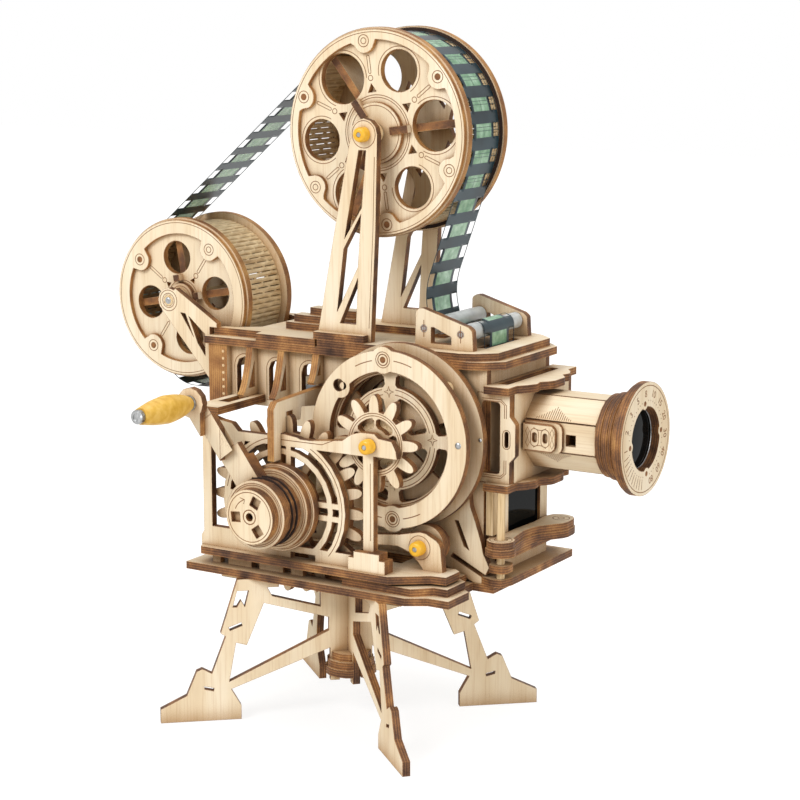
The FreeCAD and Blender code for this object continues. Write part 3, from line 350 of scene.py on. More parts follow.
def arc(centre, radius, start, stop, step=4.0):
    """Points along an arc in degrees, about one each step."""
    count = max(2, int(abs(stop - start) / step) + 1)
    return polar(centre, radius, np.linspace(start, stop, count))


def point(centre, radius, angle):
    """One point at a radius and at an angle in degrees from a centre."""
    return polar(centre, radius, [angle])[0]


def circle(centre, radius, sides=32):
    """Closed ring of points."""
    return polar(centre, radius, np.arange(sides) * 360.0 / sides)


class Engraving:
    """Lines burnt into plates, all in one mesh of thin bars that stand just above the face."""

    DEPTH = 0.05                # mm above the face, and as much below it
    SPOT_DEPTH = 0.07           # a filled dot lies over the lines

    def __init__(self):
        self.vertices = []
        self.faces = []
        self.count = 0

    def line(self, path, to_space, width=BROAD, closed=False):
        """Bar of four corners carried along a path: at each point they stand half a width to both sides
        of the path, and DEPTH above and below the face."""
        path = np.asarray(path, float)
        if closed:
            along = np.roll(path, -1, 0) - np.roll(path, 1, 0)
        else:
            along = np.gradient(path, axis=0)
        along = along / np.linalg.norm(along, axis=1, keepdims=True)
        aside = np.stack([-along[:, 1], along[:, 0]], -1) * width / 2.0
        corners = ((-1, -1), (1, -1), (1, 1), (-1, 1))
        points = np.stack([to_space(path + aside * s, h * self.DEPTH) for s, h in corners], 1)
        rows = len(path)
        faces = grid_faces(rows, 4, closed, True)
        if not closed:
            last = (rows - 1) * 4
            faces = np.vstack([faces, [3, 2, 1, 0], [last, last + 1, last + 2, last + 3]])
        self.vertices.append(points.reshape(-1, 3))
        self.faces.append(faces + self.count)
        self.count += rows * 4

    def ring(self, centre, radius, to_space, width=BROAD):
        """Closed line round a centre."""
        self.line(circle(centre, radius, max(16, int(radius * 5))), to_space, width, True)

    def spot(self, centre, radius, to_space, sides=14):
        """Filled dot: a low disc whose rim is a ring of points round its centre."""
        rim = circle(centre, radius, sides)
        self.vertices.append(np.vstack([to_space(rim, self.SPOT_DEPTH), to_space(rim, -self.DEPTH)]))
        near = np.arange(sides)
        far = (near + 1) % sides
        walls = np.stack([near, far, sides + far, sides + near], -1) + self.count
        caps = [near + self.count, near[::-1] + sides + self.count]
        self.faces.append(list(walls) + caps)
        self.count += 2 * sides

    def piece(self, name, body, finish="burnt"):
        """All lines so far as one object."""
        faces = [face for group in self.faces for face in group]
        fix_normals(put(name, np.vstack(self.vertices), faces, finish, body))


def fix_normals(piece):
    """Turn every face of a closed mesh outwards."""
    work = bmesh.new()
    work.from_mesh(piece.data)
    bmesh.ops.recalc_face_normals(work, faces=work.faces)
    work.to_mesh(piece.data)
    work.free()


def plane(axis, place, way):
    """Turns a path in a plane, and a height over it, to points in space: place is where the plane
    crosses the axis that is square to it, and way the side that it faces."""
    def to_space(path, height):
        return np.insert(path, axis, place + way * height, axis=1)
    return to_space


def front(y):
    """Plane facing -Y: a path of (x, z)."""
    return plane(1, y, -1.0)


def back(y):
    """Plane facing +Y: a path of (x, z)."""
    return plane(1, y, 1.0)


def side(x):
    """Plane facing +X: a path of (y, z)."""
    return plane(0, x, 1.0)


def top(z):
    """Plane facing +Z: a path of (x, y)."""
    return plane(2, z, 1.0)


class Shape:
    """Closed surfaces in mm with a finish each, joined to one object."""

    def __init__(self):
        self.vertices = []
        self.faces = []
        self.finishes = []
        self.indices = []
        self.count = 0

    def add(self, vertices, faces, finish):
        """Vertices and their faces, numbered on from what is there."""
        if finish not in self.finishes:
            self.finishes.append(finish)
        self.vertices.append(np.asarray(vertices, float))
        for face in faces:
            self.faces.append([int(v) + self.count for v in face])
            self.indices.append(self.finishes.index(finish))
        self.count += len(vertices)

    def cut(self, outline, holes, to_space, thick, finish, start=0.0):
        """Plate of a sheet, start below the face: the outline and its holes, the same again at the far
        side, and walls between."""
        loops = [np.asarray(outline, float)] + [np.asarray(hole, float) for hole in holes]
        flat = np.vstack(loops)
        triangles = tessellate_polygon([[Vector((u, v, 0.0)) for u, v in loop] for loop in loops])
        size = len(flat)
        faces = [list(t) for t in triangles] + [[v + size for v in t] for t in triangles]
        base = 0
        for loop in loops:
            near = base + np.arange(len(loop))
            far = np.roll(near, -1)
            faces.extend(np.stack([near, far, far + size, near + size], -1))
            base += len(loop)
        vertices = np.vstack([to_space(flat, -start), to_space(flat, -start - thick)])
        self.add(vertices, faces, finish)

    def lathe(self, profile, centre, axis, finish, sides=64, closed=False):
        """Profile of (along, radius) points carried round an axis along y or x; a closed profile makes
        a ring, an open one gets a flat cap at each end."""
        profile = np.asarray(profile, float)
        angle = np.arange(sides) * 2.0 * math.pi / sides
        along = np.tile(profile[:, 0], sides)
        radius = np.tile(profile[:, 1], sides)
        turn = np.repeat(angle, len(profile))
        u = centre[0] + radius * np.cos(turn)
        v = centre[1] + radius * np.sin(turn)
        vertices = np.stack([u, along, v] if axis == "y" else [along, u, v], -1)
        columns = len(profile)
        faces = list(grid_faces(sides, columns, True, closed))
        if not closed:
            first = np.arange(sides) * columns
            faces += [first, first + columns - 1]
        self.add(vertices, faces, finish)

    def ring(self, centre, low, high, inner, outer, finish, axis="y", sides=96, soft=0.12):
        """Flat ring between two heights with slightly broken edges."""
        profile = [(low, inner + soft), (low, outer - soft), (low + soft, outer),
                   (high - soft, outer), (high, outer - soft), (high, inner + soft),
                   (high - soft, inner), (low + soft, inner)]
        self.lathe(profile, centre, axis, finish, sides, True)

    def piece(self, name, body, slot="plywood", replaces=()):
        """All surfaces so far as one object, with crisp edges, in place of the CAD nodes named."""
        made = put(name, np.vstack(self.vertices), self.faces, None, body, True, self.finishes,
                   self.indices)
        fix_normals(made)
        made.data.set_sharp_from_angle(angle=SHARP)
        if replaces:
            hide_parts(*replaces)


def star(centre, radius, lobes=(), inward=False, step=2.0):
    """Outline round a centre that bulges round each lobe, given as (distance, angle, radius)."""
    angles = np.arange(0.0, 360.0, step)
    reach = np.full(len(angles), float(radius))
    for distance, at, size in lobes:
        off = np.radians((angles - at + 180.0) % 360.0 - 180.0)
        inside = size ** 2 - (distance * np.sin(off)) ** 2
        near = (inside > 0.0) & (np.cos(off) > 0.0)
        half = np.sqrt(np.maximum(inside, 0.0))
        edge = distance * np.cos(off) - (half if inward else -half)
        bulge = np.minimum(reach, edge) if inward else np.maximum(reach, edge)
        reach = np.where(near, bulge, reach)
    return polar(centre, reach, angles)


def sector(centre, inner, outer, start, stop, soft=1.0):
    """Ring sector whose four corners are cut back by soft mm."""
    a = math.degrees(soft / outer)
    b = math.degrees(soft / inner)
    first = start + 0.01
    last = stop - 0.01
    return np.vstack([arc(centre, outer, start + a, stop - a, 3.0), point(centre, outer - soft, last),
                      point(centre, inner + soft, last), arc(centre, inner, stop - b, start + b, 3.0),
                      point(centre, inner + soft, first), point(centre, outer - soft, first)])


def strip(first, second, width, ends=6):
    """Slot outline between two points with round ends of a few steps."""
    first = np.asarray(first, float)
    second = np.asarray(second, float)
    way = math.degrees(math.atan2(second[1] - first[1], second[0] - first[0]))
    far = polar(second, width / 2.0, np.linspace(way - 90.0, way + 90.0, ends))
    near = polar(first, width / 2.0, np.linspace(way + 90.0, way + 270.0, ends))
    return np.vstack([far, near])


def gear_outline(centre, teeth, phase):
    """Long leaf-shaped teeth: the half width falls from root to tip by the rounded curve
    (1 - share^3)^0.46, once for each tooth; the pitch radius is 1.45 mm times the teeth."""
    pitch = 1.45 * teeth
    root = pitch - 4.1
    tip = pitch + 2.75
    share = np.array([0.0, 0.22, 0.42, 0.58, 0.72, 0.84, 0.93, 0.985])
    root_half = 2.3             # half a tooth's width at the root
    half = root_half * (1.0 - share ** 3) ** 0.46
    radius = root + share * (tip - root)
    swing = np.degrees(half / radius)
    turns = np.concatenate([-swing, [0.0], swing[::-1]])
    radii = np.concatenate([radius, [tip], radius[::-1]])
    return np.vstack([polar(centre, radii, phase + i * 360.0 / teeth + turns) for i in range(teeth)])


# pieces

def slit_drum(name, body, node, centre, radius, low, high, pitch, share):
    """Bent veneer of a drum: a grid of steps round the axis (one parameter) by places across the width
    (the other). Every second step is a narrow row of slits, staggered like bricks; share is the part of
    the pitch that a slit takes up. A wall is added inwards."""
    rows = 2 * int(round(math.pi * radius / pitch))
    turn = 360.0 / rows
    width = high - low
    period = width / 3.0
    # slit ends across the width in mm, for even and odd rows, with a whole margin at both edges
    margin = 0.6
    even = [(margin, 0.93 * period), (1.07 * period, 1.93 * period), (2.07 * period, width - margin)]
    odd = [(margin, 0.43 * period), (0.57 * period, 1.43 * period), (1.57 * period, 2.43 * period),
           (2.57 * period, width - margin)]
    across = np.unique([0.0, width] + [edge for slit in even + odd for edge in slit])
    angles = np.repeat(np.arange(rows) * turn, 2) + np.tile([0.0, turn * share], rows)
    columns = len(across)
    spots = np.repeat(polar(centre, radius, angles), columns, 0)
    vertices = np.stack([spots[:, 0], low + np.tile(across, len(angles)), spots[:, 1]], -1)
    middle = (across[1:] + across[:-1]) / 2.0
    cut = np.array([[any(a < m < b for a, b in slits) for m in middle] for slits in (even, odd)])
    row = np.repeat(np.arange(2 * rows), columns - 1)
    column = np.tile(np.arange(columns - 1), 2 * rows)
    solid = (row % 2 == 1) | ~cut[(row // 2) % 2, column]
    faces = grid_faces(2 * rows, columns, True, False)[solid]
    drum = put(name, vertices, faces, "slats", body, smooth=True)
    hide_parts(node)
    wall = drum.modifiers.new("wall", "SOLIDIFY")
    wall.thickness = 1.2 * MM
    wall.offset = -1.0


def build_reel(name, centre, radius, rim_inner, hub, drum, holes, lobes, corners, ring, bars, pitch):
    """Two flanges with a raised rim and lobes on the outside, a hub disc, and the slotted drum between.
    holes and corners are (angle, distance, radius), lobes (angle, distance, dark), and bars the
    distances of a burnt bar's start, its end and its dot."""
    large = name == "upper_reel"
    raised = 1.9                # height of rim and hub disc over the flange
    flange = 3.0                # thickness of the flange
    bore = circle(centre, 2.6, 24)
    low, high = span(name + "_flanges", 1)
    shape = Shape()
    marks = Engraving()
    outline = circle(centre, radius, 144)
    openings = [circle(point(centre, reach, angle), size, 48) for angle, reach, size in holes]
    for angle, reach, size in corners:
        spot = point(centre, reach, angle)
        openings.append(polar(spot, size, angle + np.array([0.0, 120.0, 240.0])))
    rim = star(centre, rim_inner, [(reach, angle, 5.0) for angle, reach, dark in lobes], True)
    for face, facing in ((front(low), front), (back(high), back)):
        shape.cut(circle(centre, radius - 1.0, 144), [rim], face, raised, "ply_reel")
        shape.cut(outline, openings + [bore], face, flange, "ply_reel", raised)
        shape.cut(circle(centre, hub, 72), [bore], face, raised, "ply_y")
        sunk = facing(low + raised) if facing is front else facing(high - raised)
        for angle, reach, dark in lobes:
            spot = point(centre, reach, angle)
            marks.ring(spot, 2.5, face, LINE)
            marks.ring(spot, 1.25, face, LINE)
            if dark:
                marks.spot(spot, 1.15, face)
        marks.ring(centre, ring, sunk, THIN)
        marks.ring(centre, ring - 1.0, sunk, THIN)
        marks.ring(centre, hub - 1.2, face, THIN)
        marks.ring(centre, radius - 2.0, face, HAIR)
        for angle, reach, size in (holes if large else ()):
            spot = point(centre, reach, angle)
            marks.line(arc(spot, size + 1.2, angle - 125.0, angle + 125.0), sunk, THIN)
        for angle, reach, dark in lobes:
            start, stop, dot = bars
            marks.ring(point(centre, dot, angle), 1.1, sunk, THIN)
            bar = strip(point(centre, start, angle), point(centre, stop, angle), 1.2)
            marks.line(bar, sunk, FINE, True)
    slit_drum(name + "_veneer", name, name + "_drum", centre, drum, low + 4.9, high - 4.9, pitch,
              0.16 if large else 0.21)
    if large:
        # painted shade: thin dark ring on the rear flange's inner face, for the deep shade there
        shape.ring(centre, high - 5.1, high - 4.85, drum + 0.7, radius - 0.7, "painted_shade_dark", sides=144,
                   soft=0.05)
    shape.piece(name + "_sides", name, "plywood", (name + "_flanges",))
    marks.piece(name + "_marks", name)


def wedges(centre, starts, inner, outer, lead, end):
    """Ring sectors between spokes, each from lead to end degrees past its start."""
    return [sector(centre, inner, outer, start + lead, start + end) for start in starts]


def bolt_mark(marks, spot, face):
    """Bolt head burnt as two rings round a dark dot."""
    marks.ring(spot, 3.3, face, LINE)
    marks.ring(spot, 2.3, face, BOLD)
    marks.spot(spot, 1.35, face)


def build_wheels():
    """Ornamental ring, fixed wheel and backing ring in front of the housing."""
    shape = Shape()
    marks = Engraving()
    ring_y = span("front_ring", 1)[0]
    lobes = [(32.8, 94.0, 5.6), (32.8, 274.0, 5.6), (30.2, 139.0, 4.6)]
    face = front(ring_y)
    # the small hole at the upper left is shaped like a comma by a plug that fills a part of it
    hole = circle(point(PINION, 31.2, 139.0), 2.6, 28)
    plug = circle(point(PINION, 29.6, 136.5), 1.6, 20)
    shape.cut(star(PINION, 36.8, lobes, step=1.5), [star(PINION, 28.2, lobes, True, 1.5), hole],
              face, PLY, "ply_y")
    shape.cut(plug, [], face, PLY, "ply_y")
    shape.piece("ornamental_ring", "housing", replaces=("front_ring",))
    for angle in (94.0, 274.0):
        bolt_mark(marks, point(PINION, 32.9, angle), face)
        for way in (-1.0, 1.0):
            marks.line(arc(PINION, 32.9, angle + way * 9.0, angle + way * 24.0, 2.0), face)
    wheel_y = span("spoked_wheel", 1)[0]
    starts = (4.0, 94.0, 184.0, 274.0)
    wheel = Shape()
    windows = wedges(PINION, starts, 21.4, 26.6, 4.5, 81.5)
    windows += wedges(PINION, starts, 8.6, 17.3, 10.0, 76.0)
    windows.append(circle(PINION, 2.8, 24))
    face = front(wheel_y)
    wheel.cut(circle(PINION, 33.5, 120), windows, face, PLY, "ply_y")
    wheel.piece("fixed_wheel", "housing", replaces=("spoked_wheel",))
    for start in starts:
        spot = point(PINION, 19.3, start)
        reach = np.where(np.arange(8) % 2 == 0, 2.3, 0.75)
        marks.line(polar(spot, reach, start + np.arange(8) * 45.0), face, LINE, True)
        for radius, lead, end in ((20.4, 9.0, 81.0), (18.3, 9.0, 81.0), (27.4, 4.0, 82.0)):
            marks.line(arc(PINION, radius, start + lead, start + end, 3.0), face, LINE)
    low, high = span("backing_ring", 1)
    backing = Shape()
    disc = low + 4.6            # front face of the ring, between its posts
    backing.ring(PINION, disc, disc + PLY, 27.0, 38.4, "ply_y", sides=144, soft=0.06)
    for angle in (45.0, 135.0, 225.0, 315.0):
        for first, last in ((low, disc), (disc + PLY, high)):
            backing.lathe([(first, 2.6), (last, 2.6)], point(PINION, 31.0, angle), "y", "dowel_y", 28)
    backing.piece("backing_wheel", "housing", replaces=("backing_ring",))
    marks.piece("wheel_marks", "housing")


def build_gears():
    """Crank gear and pinion with leaf-shaped teeth, cut from the same sheet as the frame."""
    for node, body, centre, teeth, phase, inner, outer, lead, end in (
            ("crank_gear", "crank", CRANK, 24, 43.85, 10.0, 26.6, 5.0, 55.0),
            ("pinion", "pinion_and_shutter", PINION, 12, 2.3, 6.6, 10.6, 33.0, 87.0)):
        shape = Shape()
        holes = wedges(centre, [60.0 * i for i in range(6)], inner, outer, lead, end)
        holes.append(circle(centre, 2.4, 24))
        face = front(span(node, 1)[0])
        shape.cut(gear_outline(centre, teeth, phase), holes, face, PLY, "ply_y")
        shape.piece(node + "_cut", body, replaces=(node,))
        marks = Engraving()
        for radius in ((28.2, 29.2) if teeth == 24 else (11.6, 12.6)):
            marks.ring(centre, radius, face, THIN)
        marks.piece(node + "_marks", body)


def turned_cap(shape, centre, seat, way):
    """Yellow cap 4.2 mm long with a rounded nose, and a steel pin end a little below its face."""
    tip = seat + way * 4.2
    profile = [(seat, 3.1), (tip - way * 1.6, 3.1), (tip - way * 0.7, 2.95), (tip - way * 0.2, 2.6),
               (tip, 2.1), (tip, 1.15), (tip - way * 0.5, 1.05), (seat, 1.05)]
    shape.lathe(profile, centre, "y", "yellow", 48, True)
    pin = [(seat, 1.05), (tip - way * 0.35, 1.05), (tip - way * 0.2, 0.85)]
    shape.lathe(pin, centre, "y", "steel", 24)


def build_fittings():
    """Fixed axles, caps, film rollers and the idler."""
    wall = span("front_wall", 1)[0]
    rear = span("rear_wall", 1)[1]
    axles = Shape()
    # each reel axle carries a collar between its support and the reel at both ends, and stands out by
    # reach
    for centre, reach in ((UPPER, 2.4), (LEFT, 0.3)):
        profile = [(wall - reach, 2.1), (wall - reach + 0.3, 2.4), (wall + PLY, 2.4),
                   (wall + PLY, 4.2), (wall + 8.5, 4.2), (wall + 8.5, 2.4),
                   (rear - 8.5, 2.4), (rear - 8.5, 4.2), (rear - PLY, 4.2),
                   (rear - PLY, 2.4), (rear + reach - 0.3, 2.4), (rear + reach, 2.1)]
        axles.lathe(profile, centre, "y", "dowel_y", 40)
    cheek, cheek_back = span("film_cheeks", 1)
    for centre in ROLLERS:
        axles.lathe([(cheek, 1.5), (cheek_back, 1.5)], centre, "y", "steel", 24)
    bracket = span("idler_bracket", 1)[0]
    axles.lathe([(bracket - 0.2, 1.5), (wall - PLY, 1.5)], IDLER, "y", "dowel_y", 24)
    axles.piece("axles", "housing", replaces=("fixed_axles",))
    caps = Shape()
    turned_cap(caps, UPPER, wall, -1)
    turned_cap(caps, UPPER, rear, 1)
    turned_cap(caps, IDLER, bracket, -1)
    caps.piece("caps", "housing", "plastic_yellow", ("axle_caps",))
    cap = Shape()
    turned_cap(cap, PINION, span("pinion_cap", 1)[1], -1)
    cap.piece("pinion_end_cap", "pinion_and_shutter", "plastic_yellow", ("pinion_cap",))
    for node, centre in zip(("roller_left", "roller_right"), ROLLERS):
        low, high = span(node, 1)
        tube = Shape()
        tube.ring(centre, low, high, 1.56, ROLLER, "tube", sides=40, soft=0.3)
        tube.piece(node + "_tube", "film_" + node, "plastic_white", (node,))
    low, high = span("idler", 1)
    wheel = Shape()
    wheel.ring(IDLER, low, low + PLY, 1.56, 8.6, "ply_y", sides=64)
    wheel.ring(IDLER, low + PLY, high, 1.56, 7.7, "ply_y", sides=64)
    wheel.piece("idler_wheel", "idler", replaces=("idler",))


def build_crank():
    """Drums on the crank with the marks burnt into them, and the wooden grip on its bolt."""
    low, high = span("crank_drums", 1)
    face = front(low)
    drums = Shape()
    pockets = []
    marks = Engraving()
    for angle in (65.0, 185.0, 305.0):
        near, far = point(CRANK, 4.6, angle), point(CRANK, 9.0, angle)
        aside = point((0.0, 0.0), 2.1, angle + 90.0)
        pockets.append(np.array([near - aside, far - aside, far + aside, near + aside]))
    bore = circle(CRANK, 1.7, 28)
    # cut discs by radius, holes, thickness and depth of the face, and two more counted from behind
    for radius, holes, thick, start in ((11.4, pockets + [bore], 2.2, 0.0), (11.4, [bore], 1.9, 2.2),
                                        (14.4, [bore], 3.2, 4.1)):
        drums.cut(circle(CRANK, radius, 96), holes, face, thick, "ply_y", start)
    for first, last, radius in ((6.0, 3.2, 16.9), (3.2, 0.0, 18.4)):
        drums.ring(CRANK, high - first, high - last, 2.4, radius, "ply_y", sides=120)
    # painted shade: dark bottom of the bore, and dark rings for the shade between the plates of the
    # arm's hub behind the discs
    drums.lathe([(low + 3.2, 1.68), (low + 3.9, 1.68)], CRANK, "y", "painted_shade_dark", 24)
    for y in (low + 10.3, low + 13.5):
        drums.ring(CRANK, y - 0.16, y + 0.16, 13.6, 14.56, "painted_shade_dark", soft=0.05)
    drums.piece("drum_stack", "crank", replaces=("crank_drums",))
    marks.ring(CRANK, 10.3, face, LINE)
    marks.ring(CRANK, 3.0, face, BOLD)
    marks.line(arc(CRANK, 7.4, 108.0, 158.0, 4.0), face, LINE)
    tip = point(CRANK, 7.4, 108.0)
    marks.line([point(CRANK, 8.9, 121.0), tip, point(CRANK, 5.9, 117.0)], face, LINE)
    for radius in (13.2, 12.5):
        marks.ring(CRANK, radius, front(low + 4.1), THIN)
    for radius in (15.8, 14.9):
        marks.ring(CRANK, radius, front(high - 6.0), LINE)
    marks.ring(CRANK, 17.6, front(high - 3.2), THIN)
    marks.piece("drum_marks", "crank")
    low, high = span("handle_grip", 1)
    share = np.linspace(0.0, 1.0, 26)
    known = np.array([0.0, 0.1, 0.27, 0.53, 0.75, 0.9, 1.0])
    radius = np.interp(share, known, [3.4, 4.1, 5.1, 5.9, 5.2, 4.1, 3.0])
    radius[1:-1] = (radius[:-2] + 2.0 * radius[1:-1] + radius[2:]) / 4.0
    along = low + share * (high - low)
    grip = Shape()
    profile = [(low, 1.7)] + list(zip(along, radius)) + [(high, 1.7)]
    grip.lathe(profile, HANDLE, "y", "varnish", 56, True)
    grip.piece("grip", "handle", "wood_yellow", ("handle_grip",))
    low, high = span("handle_bolt", 1)
    bolt = Shape()
    socket = [(low + 0.3, 2.6), (low, 2.4), (low, 1.5), (low + 1.6, 1.35), (low + 1.6, 0.9)]
    bolt.lathe(socket, HANDLE, "y", "steel", 36)
    head = [(low + 2.5, 1.62), (low + 2.5, 2.9), (low + 0.6, 2.9), (low + 0.2, 2.6), (low + 0.2, 1.62)]
    bolt.lathe(head, HANDLE, "y", "steel", 36, True)
    bolt.lathe([(low + 1.4, 1.6), (high, 1.6)], HANDLE, "y", "steel", 28)
    # washer between grip and arm, and a hexagon nut behind the arm
    bolt.ring(HANDLE, -38.1, -37.1, 1.6, 3.2, "steel", sides=36)
    bolt.ring(HANDLE, high - 1.9 - 0.2, high - 0.2, 1.6, 2.9, "steel", sides=6)
    bolt.piece("grip_bolt", "crank", "steel", ("handle_bolt",))


def numbers(marks_name, body, texts, centre, radius, to_space, size, start, step):
    """Plain numbers round a dial, their tops outwards, thin flat solids made from a font outline: a
    letter's y runs out from the centre and its x across."""
    shape = Shape()
    for index, text in enumerate(texts):
        curve = bpy.data.curves.new("number", "FONT")
        curve.body = text
        curve.size = size
        curve.align_x = "CENTER"
        curve.resolution_u = 3
        curve.extrude = 0.04
        holder = bpy.data.objects.new("number", curve)
        bpy.context.scene.collection.objects.link(holder)
        bpy.context.view_layer.update()
        mesh = bpy.data.meshes.new_from_object(holder)
        points = np.empty(len(mesh.vertices) * 3, np.float32)
        mesh.vertices.foreach_get("co", points)
        points = points.reshape(-1, 3).astype(float)
        faces = [list(p.vertices) for p in mesh.polygons]
        bpy.data.objects.remove(holder)
        bpy.data.meshes.remove(mesh)
        bpy.data.curves.remove(curve)
        angle = math.radians(start - index * step)
        out = np.array([math.cos(angle), math.sin(angle)])
        right = np.array([out[1], -out[0]])
        flat = np.asarray(centre) + out * (radius + points[:, 1:2]) + right * points[:, 0:1]
        placed = to_space(flat, 0.0)
        raised = to_space(flat, 1.0) - placed
        shape.add(placed + raised * points[:, 2:3], faces, "burnt")
    shape.piece(marks_name, body)


def build_lens():
    """Focusing ring from a stack of plates, its dial, the glass and its retaining ring."""
    lobe_angles = (5.0, 95.0, 185.0, 275.0)
    low, high = span("lens_ring", 0)
    high -= 0.08                # the dial lines stay inside the outline
    shape = Shape()
    # plates by their two faces, inner and outer radius, with a narrow gap between
    plates = ((0.0, 3.1, 12.1, 17.2), (3.1, 6.3, 12.1, 18.0), (6.3, 8.3, 12.1, 19.0),
              (8.3, 10.1, 12.1, 19.6), (10.1, 11.7, 13.0, 22.5))
    for first, last, inner, outer in plates:
        shape.ring(LENS, low + first + 0.16, low + last - 0.16, inner, outer, "ply_x", "x", 120, 0.4)
    # painted shade: dark core that shows as shade between the plates
    shape.ring(LENS, low + 0.6, high - 3.4, 13.2, 16.3, "painted_shade_dark", "x", 72)
    lobes = [(14.6, angle, 2.5) for angle in lobe_angles]
    shape.cut(circle(LENS, 23.2, 144), [star(LENS, 13.2, lobes, True, 1.5)], side(high), 3.1, "ply_x")
    shape.piece("focus_ring", "lens_ring", replaces=("lens_ring",))
    glass = Shape()
    low_glass, high_glass = span("lens_glass", 0)
    share = np.linspace(0.0, 1.0, 10)
    bulge = low_glass + 0.4 + 0.8 * np.sqrt(1.0 - 0.98 * share ** 2)
    dome = list(zip(bulge, 12.9 * share + 0.02))[::-1]
    glass.lathe([(low_glass, 12.9)] + dome, LENS, "x", "glass", 72)
    glass.ring(LENS, high_glass - 0.4, high_glass, 12.1, 12.6, "steel", "x", 72, 0.1)
    glass.piece("glass", "lens_ring", "glass", ("lens_glass",))
    marks = Engraving()
    face = side(high)
    marks.ring(LENS, 21.7, face, THIN)
    for angle in lobe_angles:
        marks.spot(point(LENS, 14.6, angle), 1.05, face)
    for angle in np.arange(196.0, 262.0, 7.2):
        marks.line(polar(LENS, [16.4, 20.6], angle), face, FINE)
    for angle in np.arange(0.0, 360.0, 7.5):
        if min(abs((angle - lobe + 180.0) % 360.0 - 180.0) for lobe in lobe_angles) > 9.0:
            marks.line(polar(LENS, [15.3, 15.9], angle), face, HAIR)
    marks.piece("dial_marks", "lens_ring")
    texts = "1 2 3 5 8 10 15 20 30 40 60 80".split()
    numbers("dial_numbers", "lens_ring", texts, LENS, 17.2, face, 4.0, 186.0, 23.5)


def facet(angle, axis, apothem):
    """Flat side of the barrel: a path of (x, across) on the facet that faces an angle in (y, z)."""
    turn = math.radians(angle)
    normal = np.array([0.0, math.cos(turn), math.sin(turn)])
    across = np.array([0.0, -math.sin(turn), math.cos(turn)])
    middle = np.array([0.0, axis[0], axis[1]]) + normal * apothem

    def to_space(path, height):
        return middle + path[:, :1] * np.array([1.0, 0.0, 0.0]) + path[:, 1:] * across + normal * height
    return to_space


def sighting_mark(marks, x, z, face, length=6.0):
    """Small ring crossed by an upright line."""
    marks.ring((x, z), 1.1, face, 0.34)
    marks.line([(x, z - length / 2.0), (x, z + length / 2.0)], face, LINE)


def arch_lines(marks, face):
    """Line round each of the three arched windows."""
    for x in (-50.75, -33.95, -17.15):
        over = arc((x, 143.5), 5.3, 0.0, 180.0)
        marks.line(np.vstack([[(x + 5.3, 129.8)], over, [(x - 5.3, 129.8)]]), face, LINE, True)


